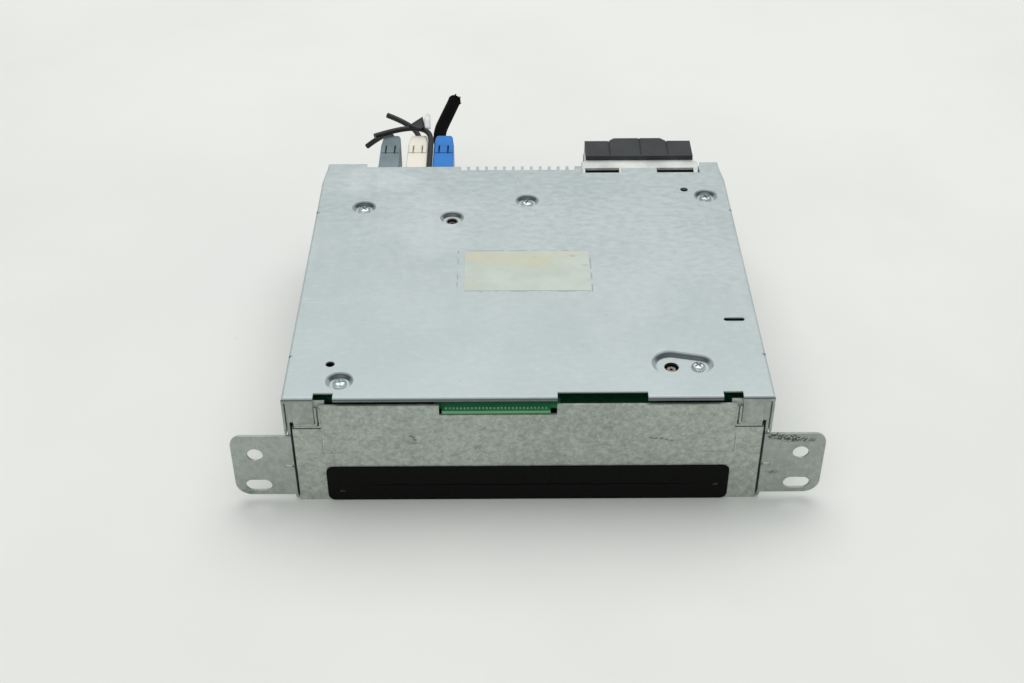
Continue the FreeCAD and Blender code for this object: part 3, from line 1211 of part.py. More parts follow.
def deck_plate():
    """Floating deck with hanging supports for the rods and lugs for the clamp arm."""
    z = (DECK_BOTTOM, DECK_BOTTOM + DECK_SHEET)
    plate = block(DECK_X, DECK_DEPTH, z)
    plate = plate.makeFillet(DECK_CORNER, edges_along(plate, Z_AXIS, lambda middle: True))
    arms = both_sides(block(DECK_ARM_X, (DECK_DEPTH[1] - DECK_CORNER - EXTRA, DECK_ARM_DEPTH), z))
    lug_x = (DECK_ARM_X[1] - LUG_THICKNESS, DECK_ARM_X[1])
    lugs = both_sides(block(lug_x, (CLAMP_PIVOT[0] - DECK_LUG_REACH, DECK_ARM_DEPTH),
                            (CLAMP_PIVOT[1] - SUPPORT_HALF, z[1])))
    inner, outer = ROD_X[0] - SUPPORT_THICKNESS / 2, ROD_X[1]
    sites = [(x, y, ROD_Z) for y in ROD_DEPTHS for x in (inner - SUPPORT_THICKNESS / 2, outer)]
    supports = []
    for x, y, axis_z in sites + [(outer, SCREW_DEPTH, SCREW_Z)]:
        supports.append(block((x - SUPPORT_THICKNESS / 2, x + SUPPORT_THICKNESS / 2),
                              (y - SUPPORT_HALF, y + SUPPORT_HALF),
                              (axis_z - SUPPORT_HALF, z[0] + DECK_SHEET / 2)))
    shape = join([plate] + arms + lugs + supports)
    window_y = (SPINDLE_DEPTH - DECK_WINDOW_HALF_DEPTH, SPINDLE_DEPTH + DECK_WINDOW_HALF_DEPTH)
    cuts = [block((LENS_X - DECK_WINDOW_INSETS[0], ROD_X[1] - DECK_WINDOW_INSETS[1]), window_y,
                  (z[0] - EXTRA, z[1] + EXTRA)),
            rod(LEAD_SCREW_RADIUS + PIN_FIT, vec(outer - SUPPORT_THICKNESS, SCREW_DEPTH, SCREW_Z),
                2 * SUPPORT_THICKNESS, X_AXIS),
            rod(CLAMP_PIN_RADIUS, vec(-DECK_ARM_X[1] - EXTRA, *CLAMP_PIVOT), 2 * (DECK_ARM_X[1] + EXTRA),
                X_AXIS)]
    for y in ROD_DEPTHS:
        cuts.append(block(ROD_X, (y - ROD_RADIUS, y + ROD_RADIUS),
                          (ROD_Z - SUPPORT_HALF - EXTRA, ROD_Z + ROD_RADIUS)))
    return shape.cut(join(cuts)).removeSplitter()


def guide_rods():
    return [rod(ROD_RADIUS, vec(ROD_X[0], y, ROD_Z), ROD_X[1] - ROD_X[0], X_AXIS) for y in ROD_DEPTHS]


def clamp_pin():
    reach = DECK_ARM_X[1] + EXTRA
    return rod(CLAMP_PIN_RADIUS, vec(-reach, *CLAMP_PIVOT), 2 * reach, X_AXIS)


def deck_dampers():
    top = DECK_BOTTOM + DECK_SHEET
    return [peg(DAMPER_RADIUS, vec(x, y, top), FRAME_TOP - FRAME_SHEET - top, Z_AXIS, HEAD_SIDES)
            for x, y in DAMPER_SITES]


def deck_springs():
    """Each spring's sleeve-like outline round its damper."""
    top = DECK_BOTTOM + DECK_SHEET
    height = FRAME_TOP - FRAME_SHEET - top
    inner, outer = SPRING_RADII
    springs = []
    for x, y in DAMPER_SITES:
        core = peg(inner, vec(x, y, top - EXTRA), height + 2 * EXTRA, Z_AXIS, HEAD_SIDES)
        springs.append(peg(outer, vec(x, y, top), height, Z_AXIS, HEAD_SIDES).cut(core))
    return springs


def spindle_stator():
    low = DECK_BOTTOM - SPINDLE_BODY_HEIGHT
    body = rod(SPINDLE_BODY_RADIUS, vec(0, SPINDLE_DEPTH, low), SPINDLE_BODY_HEIGHT)
    return body.cut(rod(SHAFT_RADIUS + PIN_FIT, vec(0, SPINDLE_DEPTH, low - EXTRA), SPINDLE_BODY_HEIGHT))


def turntable():
    """Rotor whose underside carries the disc, with the centring hub that points down into it."""
    face = PLAY_FACE + PAD_THICKNESS
    rotor = rod(TURNTABLE_RADIUS, vec(0, SPINDLE_DEPTH, face), ROTOR_TOP - face)
    shaft = rod(SHAFT_RADIUS, vec(0, SPINDLE_DEPTH, face), DECK_BOTTOM - EXTRA - face)
    hub = cone(HUB_RADIUS - HUB_DROP / 2, HUB_RADIUS, vec(0, SPINDLE_DEPTH, PLAY_FACE - HUB_DROP),
               HUB_DROP + PAD_THICKNESS)
    return join([rotor, shaft, hub])


def turntable_pad():
    ring = rod(TURNTABLE_RADIUS - PIN_FIT, vec(0, SPINDLE_DEPTH, PLAY_FACE), PAD_THICKNESS)
    return ring.cut(rod(HUB_RADIUS + EXTRA, vec(0, SPINDLE_DEPTH, PLAY_FACE - EXTRA), 3 * EXTRA))


def sled_motor():
    start, end = SLED_MOTOR_X
    can = rod(SLED_MOTOR_RADIUS, vec(start, SCREW_DEPTH, SCREW_Z), end - start, X_AXIS)
    saddle = block((start + SADDLE_INSET, end - SADDLE_INSET),
                   (SCREW_DEPTH - SADDLE_HALF, SCREW_DEPTH + SADDLE_HALF), (SCREW_Z, DECK_BOTTOM))
    bore = rod(LEAD_SCREW_RADIUS + PIN_FIT, vec(start + SCREW_ENTRY[0], SCREW_DEPTH, SCREW_Z), end - start,
               X_AXIS)
    return can.fuse(saddle).cut(bore)


def lead_screw():
    start = SLED_MOTOR_X[0] + SCREW_ENTRY[1]
    return rod(LEAD_SCREW_RADIUS, vec(start, SCREW_DEPTH, SCREW_Z), ROD_X[1] + EXTRA - start, X_AXIS)


def pocket():
    half = LENS_HOLDER / 2 + SIDE_PLAY
    return ((LENS_X - half, LENS_X + half), (SPINDLE_DEPTH - half, SPINDLE_DEPTH + half))


def sled():
    """Optical sled: bored on the main rod, forked on the second, with a nut arm over the screw."""
    body = block(SLED_X, SLED_DEPTH, SLED_HEIGHT)
    middle = (SLED_X[0] + SLED_X[1]) / 2
    arm_top = SCREW_Z - LEAD_SCREW_RADIUS - PIN_FIT * 2
    arm = block((middle - NUT_ARM_HALF, middle + NUT_ARM_HALF),
                (SCREW_DEPTH - NUT_ARM_REACH, SLED_DEPTH[0] + EXTRA), (SLED_HEIGHT[0], arm_top))
    main = rod(ROD_RADIUS + PIN_FIT, vec(SLED_X[0] - EXTRA, ROD_DEPTHS[0], ROD_Z),
               SLED_X[1] - SLED_X[0] + 2 * EXTRA, X_AXIS)
    reach = ROD_RADIUS + PIN_FIT
    fork = block((SLED_X[0] - EXTRA, SLED_X[1] + EXTRA), (ROD_DEPTHS[1] - reach, SLED_DEPTH[1] + EXTRA),
                 (ROD_Z - reach, ROD_Z + reach))
    well = block(*pocket(), (SLED_HEIGHT[0] - EXTRA, SLED_HEIGHT[0] + POCKET_HEIGHT))
    return body.fuse(arm).cut(join([main, fork, well])).removeSplitter()


def lens_holder():
    half = LENS_HOLDER / 2
    low = LENS_FACE + HOLDER_SETBACK
    plate = block((LENS_X - half, LENS_X + half), (SPINDLE_DEPTH - half, SPINDLE_DEPTH + half),
                  (low, low + HOLDER_HEIGHT))
    return plate.cut(rod(LENS_RADIUS, vec(LENS_X, SPINDLE_DEPTH, low - EXTRA), HOLDER_HEIGHT))


def objective_lens():
    """Small lens that looks down at the disc."""
    return rod(LENS_RADIUS, vec(LENS_X, SPINDLE_DEPTH, LENS_FACE), LENS_THICKNESS)


def clamp_arm():
    """Plate under the disc that lifts the puck, with turned-up ears on its hinge pin."""
    z = (CLAMP_BOTTOM, CLAMP_BOTTOM + CLAMP_SHEET)
    rear = CLAMP_PIVOT[0] + CLAMP_REAR_REACH
    inner = DECK_ARM_X[1] - LUG_THICKNESS - SIDE_PLAY
    half = CLAMP_HALF_WIDTH
    shoulder, neck = rear - CLAMP_SHOULDERS[0], SPINDLE_DEPTH + CLAMP_SHOULDERS[1]
    outline = [(-inner, rear), (-inner, shoulder), (-half, neck), (-half, SPINDLE_DEPTH),
               (half, SPINDLE_DEPTH), (half, neck), (inner, shoulder), (inner, rear)]
    plate = plan(outline, z).fuse(rod(half, vec(0, SPINDLE_DEPTH, z[0]), CLAMP_SHEET))
    ears = both_sides(block((inner - CLAMP_SHEET, inner), (CLAMP_PIVOT[0] - CLAMP_REAR_REACH, rear),
                            (z[0], CLAMP_PIVOT[1] + CLAMP_REAR_REACH)))
    hole = rod(PUCK_NECK_RADIUS + PIN_FIT * 2, vec(0, SPINDLE_DEPTH, z[0] - EXTRA), 3 * EXTRA)
    hinge = rod(CLAMP_PIN_RADIUS + PIN_FIT, vec(-inner - EXTRA, *CLAMP_PIVOT), 2 * (inner + EXTRA), X_AXIS)
    wide, narrow = rear - CLAMP_WINDOW_DEPTHS[0], SPINDLE_DEPTH + CLAMP_WINDOW_DEPTHS[1]
    window = plan([(-half, wide), (half, wide), (half / 2, narrow), (-half / 2, narrow)],
                  (z[0] - EXTRA, z[1] + EXTRA))
    return join([plate] + ears).cut(join([hole, hinge, window])).removeSplitter()


def clamp_puck():
    """Puck with a recess for the hub, held in the arm by a neck and a flange."""
    overhang, thickness = PUCK_FLANGE
    low = CLAMP_BOTTOM - SIDE_PLAY - thickness
    plate_low = CLAMP_BOTTOM + CLAMP_SHEET + SIDE_PLAY
    head = rod(PUCK_RADIUS, vec(0, SPINDLE_DEPTH, plate_low), PUCK_HEAD)
    neck = rod(PUCK_NECK_RADIUS, vec(0, SPINDLE_DEPTH, low), plate_low - low + thickness)
    flange = rod(PUCK_NECK_RADIUS + overhang, vec(0, SPINDLE_DEPTH, low), thickness)
    recess = rod(HUB_RADIUS + SIDE_PLAY * 2, vec(0, SPINDLE_DEPTH, plate_low + thickness), PUCK_HEAD + EXTRA)
    return join([head, neck, flange]).cut(recess)


def flat_cable():
    """Flat cable over the frame's roof and up to the board."""
    rear = FLAT_CABLE_DEPTH[1]
    lying = block(FLAT_CABLE_X, FLAT_CABLE_DEPTH, (FRAME_TOP, FRAME_TOP + FLAT_CABLE_THICKNESS))
    rising = block(FLAT_CABLE_X, (rear - FLAT_CABLE_THICKNESS, rear), (FRAME_TOP, BOARD_BOTTOM))
    return lying.fuse(rising).removeSplitter()


def all_pieces():
    roller_gear, idler_gear, reduction_gear, motor_pinion = loading_gears()
    right_lever = disc_lever()
    pieces = {
        "top_cover": top_cover(),
        "chassis": chassis(),
        "front_plate": front_plate(),
        "slot_felt": slot_felt(),
        "blank_label": blank_label(),
        "cover_screws": cover_screws(),
        "standoffs": standoffs(),
        "locating_studs": locating_studs(),
        "case_screws": case_screws(),
        "main_board": main_board(),
        "board_pads": board_pads(),
        "board_chips": board_chips(),
        "board_capacitors": board_capacitors(),
        "main_header": main_header(),
        "connector_pins": connector_pins(),
        "jack_housings": jack_housings(),
        "main_plug": main_plug(),
        "plug_grey": antenna_plug(JACK_X[0]),
        "plug_cream": antenna_plug(JACK_X[1]),
        "plug_blue": antenna_plug(JACK_X[2]),
        "coax_grey": coax_grey(),
        "coax_cream": coax_cream(),
        "coax_bundle": coax_bundle(),
        "coax_side": coax_side(),
        "tape_wrap": tape_wrap(),
        "mech_frame": mech_frame(),
        "disc_guide": disc_guide(),
        "roller_bushes": roller_bushes(),
        "roller_shaft": roller_shaft(),
        "feed_roller": feed_roller(),
        "roller_gear": roller_gear,
        "idler_gear": idler_gear,
        "reduction_gear": reduction_gear,
        "motor_pinion": motor_pinion,
        "loading_motor": loading_motor(),
        "pinch_plate": pinch_plate(),
        "mode_slider": mode_slider(),
        "mode_pinion": mode_pinion(),
        "pivot_pins": pivot_pins(),
        "eject_arm": eject_arm(),
        "right_disc_lever": right_lever,
        "left_disc_lever": mirrored(right_lever),
        "deck_plate": deck_plate(),
        "guide_rods": guide_rods(),
        "clamp_pin": clamp_pin(),
        "deck_dampers": deck_dampers(),
        "deck_springs": deck_springs(),
        "spindle_stator": spindle_stator(),
        "turntable": turntable(),
        "turntable_pad": turntable_pad(),
        "sled_motor": sled_motor(),
        "lead_screw": lead_screw(),
        "sled": sled(),
        "lens_holder": lens_holder(),
        "objective_lens": objective_lens(),
        "clamp_arm": clamp_arm(),
        "clamp_puck": clamp_puck(),
        "flat_cable": flat_cable(),
    }
    return pieces


def main():
    os.makedirs("parts", exist_ok=True)
    for node, made in all_pieces().items():
        export(node, Part.Compound(made) if isinstance(made, list) else made)


main()
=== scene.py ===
"""The looks of a slot-loading car disc drive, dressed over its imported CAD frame."""
import math
import random

import bmesh
import bpy
from mathutils import Matrix, Vector


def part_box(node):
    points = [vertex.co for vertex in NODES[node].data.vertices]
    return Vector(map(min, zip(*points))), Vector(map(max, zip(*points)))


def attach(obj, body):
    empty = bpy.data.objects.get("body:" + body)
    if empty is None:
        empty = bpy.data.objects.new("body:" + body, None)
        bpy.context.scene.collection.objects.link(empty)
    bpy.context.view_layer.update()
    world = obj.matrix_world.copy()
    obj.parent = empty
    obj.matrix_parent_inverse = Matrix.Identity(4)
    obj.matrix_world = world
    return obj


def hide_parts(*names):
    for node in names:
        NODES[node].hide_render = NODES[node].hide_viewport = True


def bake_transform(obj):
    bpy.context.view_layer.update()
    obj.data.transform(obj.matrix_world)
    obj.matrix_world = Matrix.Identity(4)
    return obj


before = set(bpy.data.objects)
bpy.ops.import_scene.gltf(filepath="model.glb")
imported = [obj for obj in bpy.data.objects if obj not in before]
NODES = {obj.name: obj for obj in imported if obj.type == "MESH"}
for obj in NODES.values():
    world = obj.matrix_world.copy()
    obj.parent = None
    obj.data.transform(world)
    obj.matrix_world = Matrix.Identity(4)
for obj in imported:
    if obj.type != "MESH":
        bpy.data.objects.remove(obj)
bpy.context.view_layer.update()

# The part's frame has its origin under the middle of the drive; depths below are measured back
# from the front plate's face, in millimetres.
FRONT = -97.2
CASE_TOP = 50.0
PLUG_END = 207.0
PLUG_X = (-62.6, -49.6, -37.4)
PLUG_Z = 36.5
# A curve's bounds count its points' radii, so these are small and the bevel is scaled up to match
POINT_RADIUS = 0.0005


def at(x, depth, z):
    """A point of the part in metres."""
    return Vector((x, FRONT + depth, z)) / 1000


def srgb(red, green, blue):
    """An eight-bit screen colour as linear light."""
    out = []
    for value in (red, green, blue):
        share = value / 255
        out.append(share / 12.92 if share <= 0.04045 else ((share + 0.055) / 1.055) ** 2.4)
    return (*out, 1.0)


class Material:
    """One procedural material, built from a few kinds of node."""

    def __init__(self, name, metallic=0.0, roughness=0.5, **sockets):
        self.material = bpy.data.materials.new(name)
        self.material.use_nodes = True
        self.tree = self.material.node_tree
        self.tree.nodes.clear()
        self.shader = self.node("BsdfPrincipled")
        self.shader.inputs["Metallic"].default_value = metallic
        self.shader.inputs["Roughness"].default_value = roughness
        for socket, value in sockets.items():
            self.shader.inputs[socket.replace("_", " ").title()].default_value = value
        output = self.node("OutputMaterial")
        self.link(self.shader.outputs[0], output.inputs["Surface"])
        self.place = self.node("TexCoord").outputs["Object"]

    def node(self, kind):
        return self.tree.nodes.new("ShaderNode" + kind)

    def link(self, source, target):
        self.tree.links.new(source, target)

    def put(self, value, target):
        if hasattr(value, "is_output"):
            self.link(value, target)
        else:
            target.default_value = value

    def scaled(self, x, y, z):
        """Object coordinates stretched along each axis."""
        mapping = self.node("Mapping")
        self.link(self.place, mapping.inputs["Vector"])
        mapping.inputs["Scale"].default_value = (x, y, z)
        return mapping.outputs[0]

    def noise(self, scale, detail=4.0, rough=0.55, where=None, distortion=0.0):
        texture = self.node("TexNoise")
        self.link(where or self.place, texture.inputs["Vector"])
        texture.inputs["Scale"].default_value = scale
        texture.inputs["Detail"].default_value = detail
        texture.inputs["Roughness"].default_value = rough
        texture.inputs["Distortion"].default_value = distortion
        return texture.outputs["Fac"]

    def cells(self, scale, where=None, feature="F1"):
        texture = self.node("TexVoronoi")
        texture.feature = feature
        self.link(where or self.place, texture.inputs["Vector"])
        texture.inputs["Scale"].default_value = scale
        return texture

    def fit(self, value, low, high, to_low=0.0, to_high=1.0):
        """Map a range of a value onto another, held at its ends."""
        node = self.node("MapRange")
        node.interpolation_type = "SMOOTHSTEP"
        self.link(value, node.inputs["Value"])
        for socket, number in zip(("From Min", "From Max", "To Min", "To Max"), (low, high, to_low, to_high)):
            node.inputs[socket].default_value = number
        return node.outputs["Result"]

    def math(self, operation, first, second=0.0):
        node = self.node("Math")
        node.operation = operation
        node.use_clamp = operation in ("MULTIPLY", "ADD", "MAXIMUM")
        self.put(first, node.inputs[0])
        self.put(second, node.inputs[1])
        return node.outputs[0]

    def mix(self, share, first, second):
        node = self.node("Mix")
        node.data_type = "RGBA"
        self.put(share, node.inputs[0])
        self.put(first, node.inputs[6])
        self.put(second, node.inputs[7])
        return node.outputs[2]

    def spot(self, centre, radius, soft=0.6, wobble=0.0, stretch=(1.0, 1.0, 1.0)):
        """Mask that is 1 near a point and fades out at the radius; lengths in metres."""
        where = self.node("VectorMath")
        where.operation = "SUBTRACT"
        self.link(self.place, where.inputs[0])
        where.inputs[1].default_value = centre
        shaped = self.node("VectorMath")
        shaped.operation = "MULTIPLY"
        self.link(where.outputs[0], shaped.inputs[0])
        shaped.inputs[1].default_value = stretch
        length = self.node("VectorMath")
        length.operation = "LENGTH"
        self.link(shaped.outputs[0], length.inputs[0])
        distance = length.outputs["Value"]
        if wobble:
            wave = self.noise(2.2 / radius, 3.0)
            shift = self.fit(wave, 0.2, 0.8, -wobble * radius / 2, wobble * radius / 2)
            add = self.node("Math")
            self.link(distance, add.inputs[0])
            self.link(shift, add.inputs[1])
            distance = add.outputs[0]
        return self.fit(distance, radius * (1 - soft), radius, 1.0, 0.0)

    def bevelled(self, radius):
        node = self.node("Bevel")
        node.samples = 4
        node.inputs["Radius"].default_value = radius
        return node.outputs[0]

    def bump(self, height, distance, strength=1.0, normal=None):
        node = self.node("Bump")
        node.inputs["Strength"].default_value = strength
        node.inputs["Distance"].default_value = distance
        self.link(height, node.inputs["Height"])
        if normal:
            self.link(normal, node.inputs["Normal"])
        return node.outputs[0]

    def set(self, socket, value):
        self.put(value, self.shader.inputs[socket])


def dress(material, *nodes):
    """Give CAD nodes or pieces a material."""
    for node in nodes:
        thing = NODES[node] if isinstance(node, str) else node
        thing.data.materials.clear()
        thing.data.materials.append(material.material)


def zinc(name, colour, darker, fleck=0.35, roughness=0.42, metallic=0.55, edge=0.00025, stretch=(0.55, 1, 1)):
    """Zinc-plated sheet steel: soft clouds, small flecks along the sheet and scattered pits."""
    steel = Material(name, metallic=metallic, roughness=roughness)
    along = steel.scaled(*stretch)
    cloud = steel.noise(24.0, 5.0, 0.6)
    flecks = steel.noise(420.0, 4.0, 0.62, along)
    grit = steel.noise(1250.0, 3.0, 0.6, along)
    lighter = tuple(min(255, value + 14) for value in colour)
    body = steel.mix(steel.fit(cloud, 0.35, 0.68, 0.0, 0.5), srgb(*colour), srgb(*darker))
    body = steel.mix(steel.fit(flecks, 0.5, 0.66, 0.0, fleck), body, srgb(*lighter))
    body = steel.mix(steel.fit(flecks, 0.5, 0.36, 0.0, fleck), body, srgb(*darker))
    body = steel.mix(steel.fit(grit, 0.54, 0.7, 0.0, fleck), body, srgb(*darker))
    pits = steel.cells(420.0).outputs["Distance"]
    sparse = steel.noise(150.0, 2.0)
    pit = steel.math("MULTIPLY", steel.fit(pits, 0.05, 0.12, 1.0, 0.0), steel.fit(sparse, 0.66, 0.7))
    dark = tuple(int(value * 0.45) for value in darker)
    body = steel.mix(steel.math("MULTIPLY", pit, 0.8), body, srgb(*dark))
    steel.set("Roughness", steel.fit(flecks, 0.3, 0.7, roughness - 0.08, roughness + 0.12))
    normal = steel.bump(grit, 0.00003, 0.5, steel.bevelled(edge))
    steel.set("Normal", steel.bump(flecks, 0.00004, 0.35, normal))
    steel.body = body
    return steel


def finish_steel(steel):
    steel.set("Base Color", steel.body)
    return steel


def plastic(name, colour, roughness=0.45, grain=1400.0, depth=0.00002, edge=0.0004, shade=0.82):
    """Moulded plastic with a fine spark-eroded grain and slightly uneven colour."""
    moulding = Material(name, roughness=roughness)
    soft = moulding.noise(55.0, 4.0)
    darker = tuple(value * shade for value in colour)
    body = moulding.mix(moulding.fit(soft, 0.35, 0.7), srgb(*colour), srgb(*darker))
    dust = moulding.noise(1900.0, 2.0)
    paler = tuple(min(255, value + 26) for value in colour)
    body = moulding.mix(moulding.fit(dust, 0.66, 0.74, 0.0, 0.35), body, srgb(*paler))
    moulding.set("Base Color", body)
    moulding.set("Roughness", moulding.fit(soft, 0.3, 0.7, roughness - 0.06, roughness + 0.08))
    grains = moulding.noise(grain, 2.0)
    moulding.set("Normal", moulding.bump(grains, depth, 0.5, moulding.bevelled(edge)))
    return moulding


def bare_metal(name, colour, roughness=0.3, stretch=(1, 1, 1), scale=600.0):
    """Turned or drawn metal with fine directional marks."""
    metal = Material(name, metallic=1.0, roughness=roughness)
    marks = metal.noise(scale, 3.0, 0.6, metal.scaled(*stretch))
    stain = metal.noise(90.0, 4.0)
    darker = tuple(value * 0.7 for value in colour)
    body = metal.mix(metal.fit(stain, 0.4, 0.75, 0.0, 0.6), srgb(*colour), srgb(*darker))
    metal.set("Base Color", body)
    metal.set("Roughness", metal.fit(marks, 0.3, 0.7, roughness - 0.08, roughness + 0.14))
    metal.set("Normal", metal.bump(marks, 0.00002, 0.4, metal.bevelled(0.0002)))
    return metal


def rubber(name, colour, roughness=0.75):
    soft = Material(name, roughness=roughness)
    cloud = soft.noise(120.0, 4.0)
    paler = tuple(value + 16 for value in colour)
    soft.set("Base Color", soft.mix(soft.fit(cloud, 0.35, 0.75), srgb(*colour), srgb(*paler)))
    grain = soft.noise(2400.0, 2.0)
    soft.set("Roughness", soft.fit(cloud, 0.3, 0.7, roughness - 0.08, roughness + 0.1))
    soft.set("Normal", soft.bump(grain, 0.00003, 0.6))
    return soft


# Steel of the case

cover = zinc("cover_zinc", (190, 200, 201), (176, 187, 188), 0.3, 0.4, metallic=0.35)
haze = cover.spot(at(-42, 118, CASE_TOP), 0.034, 0.9, 0.9, (1.5, 0.75, 1))
haze_2 = cover.spot(at(-62, 152, CASE_TOP), 0.022, 0.9, 0.8, (0.7, 1.5, 1))
haze_3 = cover.spot(at(40, 90, CASE_TOP), 0.075, 1.0, 1.0)
smear = cover.math("MAXIMUM", cover.math("MULTIPLY", haze, 0.3), cover.math("MULTIPLY", haze_2, 0.5))
smear = cover.math("MAXIMUM", smear, cover.math("MULTIPLY", haze_3, 0.12))
cover.body = cover.mix(smear, cover.body, srgb(218, 223, 225))
scratch = cover.noise(34.0, 6.0, 0.65, cover.scaled(0.5, 7.0, 1.0), 1.4)
cover.body = cover.mix(cover.fit(scratch, 0.64, 0.67, 0.0, 0.12), cover.body, srgb(212, 218, 220))
facing = cover.node("SeparateXYZ")
cover.link(cover.node("NewGeometry").outputs["True Normal"], facing.inputs[0])
height = cover.node("SeparateXYZ")
cover.link(cover.place, height.inputs[0])
sunk = cover.math("MULTIPLY", cover.fit(height.outputs["Z"], 0.0480, 0.0484), cover.fit(height.outputs["Z"], 0.0498, 0.0492))
# Painted shade in the wells: their far walls, which face the front, are darkened
far_wall_painted_shade = cover.math("MULTIPLY", sunk, cover.fit(facing.outputs["Y"], -0.1, -0.5))
cover.body = cover.mix(cover.math("MULTIPLY", far_wall_painted_shade, 0.9), cover.body, srgb(66, 72, 73))
# Painted highlight on the wells' near walls, which face the back
rim = cover.math("MULTIPLY", sunk, cover.fit(facing.outputs["Y"], 0.1, 0.5))
cover.body = cover.mix(cover.math("MULTIPLY", rim, 0.7), cover.body, srgb(232, 238, 238))
for x, depth, size in ((-31.1, 121.5, 0.0032), (54.0, 20.0, 0.0030)):
    stain = cover.spot(at(x, depth, 47.5), size, 0.35)
    cover.body = cover.mix(cover.math("MULTIPLY", stain, 0.75), cover.body, srgb(74, 66, 60))


def ruled_line(material, low, high, tone, share, broken=0.0):
    """A thin line on a sheet as a mask between two corners, in places broken."""
    split = material.node("SeparateXYZ")
    material.link(material.place, split.inputs[0])
    inside = None
    for axis in "XYZ":
        first, last = getattr(low, axis.lower()), getattr(high, axis.lower())
        for edge, sense in ((first, "GREATER_THAN"), (last, "LESS_THAN")):
            test = material.math(sense, split.outputs[axis], edge)
            inside = test if inside is None else material.math("MULTIPLY", inside, test)
    if broken:
        inside = material.math("MULTIPLY", inside, material.fit(material.noise(broken, 1.0), 0.46, 0.54))
    material.body = material.mix(material.math("MULTIPLY", inside, share), material.body, srgb(*tone))


# Faint glue outline of a larger label round the one that is left
for low, high in (((-27.9, 66.2), (-27.4, 95.8)), ((-24.0, 95.4), (26.6, 95.9)), ((26.5, 66.0), (27.0, 95.8)),
                  ((-23.0, 66.1), (26.0, 66.6))):
    ruled_line(cover, at(*low, 49.5), at(*high, 50.5), (128, 142, 146), 0.6, 160.0)
# Painted shade on the cover's front-facing faces below the top, such as the tabs, mottled between two greys
tab_painted_shade = cover.math("MULTIPLY", cover.fit(facing.outputs["Y"], -0.6, -0.9), cover.fit(height.outputs["Z"], 0.0492, 0.0486))
mottled_painted_shade = cover.mix(cover.fit(cover.noise(230.0, 4.0, 0.65), 0.36, 0.64), srgb(174, 180, 174), srgb(150, 156, 150))
cover.body = cover.mix(cover.math("MULTIPLY", tab_painted_shade, 0.95), cover.body, mottled_painted_shade)
# Painted shadow on the cover's front-facing lip just under its top edge
lip_painted_shadow = cover.math("MULTIPLY", cover.fit(facing.outputs["Y"], -0.4, -0.8), cover.fit(height.outputs["Z"], 0.0498, 0.0480))
lip_painted_shadow = cover.math("MULTIPLY", lip_painted_shadow, cover.math("LESS_THAN", cover.math("ABSOLUTE", height.outputs["X"]), 0.0776))
cover.body = cover.mix(cover.math("MULTIPLY", lip_painted_shadow, 0.9), cover.body, srgb(78, 84, 90))
dress(finish_steel(cover), "top_cover")

chassis = zinc("chassis_zinc", (174, 182, 176), (146, 154, 147), 0.5, metallic=0.35, stretch=(1, 1, 0.8))
grit = chassis.fit(chassis.noise(1100.0, 3.0), 0.4, 0.55)
for x, z, size, share in ((91.5, 31.0, 0.0028, 0.9), (95.5, 30.4, 0.0036, 0.85), (99.5, 29.6, 0.0034, 0.85),
                          (104.5, 29.0, 0.0022, 0.6), (92.5, 13.0, 0.002, 0.6), (-107.0, 4.0, 0.003, 0.35)):
    scuff = chassis.spot(at(x, 0, z), size, 0.7, 0.8, (0.6, 1, 1.5))
    chassis.body = chassis.mix(chassis.math("MULTIPLY", chassis.math("MULTIPLY", scuff, grit), share),
                               chassis.body, srgb(48, 46, 44))
dress(finish_steel(chassis), "chassis")

plate = zinc("plate_zinc", (182, 191, 182), (148, 156, 148), 0.62, metallic=0.35, stretch=(0.8, 1, 1))
speckle = plate.noise(820.0, 3.0, 0.7)
plate.body = plate.mix(plate.fit(speckle, 0.52, 0.68, 0.0, 0.34), plate.body, srgb(122, 129, 122))
plate.body = plate.mix(plate.fit(speckle, 0.46, 0.34, 0.0, 0.36), plate.body, srgb(210, 218, 210))


# L-shaped dark lines with lighter lines 0.4 mm beside them near the plate's upper corners: painted shade and painted
# highlight of ridged edges
for low, high in (((-76.7, 23.6), (-76.3, 31.6)), ((-76.5, 23.4), (-69.5, 23.8)), ((76.8, 23.6), (77.2, 32.9)),
                  ((64.4, 23.3), (77.0, 23.7))):
    ruled_line(plate, at(low[0], -1, low[1]), at(high[0], 1, high[1]), (124, 131, 125), 0.6)
    ruled_line(plate, at(low[0] + 0.4, -1, low[1] - 0.4), at(high[0] + 0.4, 1, high[1] - 0.4), (206, 212, 206), 0.35)
for x, z, size, share, tone in ((-43.6, 31.8, 0.0009, 0.9, (96, 82, 60)), (-42.5, 31.2, 0.0009, 0.9, (96, 82, 60)),
                                (-42.2, 30.0, 0.0008, 0.9, (96, 82, 60)), (-43.2, 28.4, 0.0020, 0.5, (122, 124, 116)),
                                (-18.5, 26.4, 0.0022, 0.45, (92, 98, 94)), (45.5, 30.6, 0.0009, 0.7, (84, 88, 84)),
                                (47.5, 30.3, 0.0009, 0.7, (84, 88, 84)), (49.5, 30.2, 0.0009, 0.7, (84, 88, 84)),
                                (51.5, 29.6, 0.0009, 0.7, (84, 88, 84)), (53.5, 29.0, 0.0008, 0.7, (84, 88, 84)),
                                (30.0, 35.5, 0.0016, 0.4, (104, 110, 106)), (14.0, 22.0, 0.0006, 0.6, (70, 70, 68))):
    mark = plate.spot(at(x, 0, z), size, 0.7, 1.0, (0.8, 1, 1.6))
    plate.body = plate.mix(plate.math("MULTIPLY", mark, share), plate.body, srgb(*tone))
dress(finish_steel(plate), "front_plate")

inner = zinc("inner_zinc", (176, 178, 172), (150, 152, 146), 0.4, 0.35, metallic=0.6)
dress(finish_steel(inner), "mech_frame", "deck_plate", "clamp_arm")

# Label, felt, board

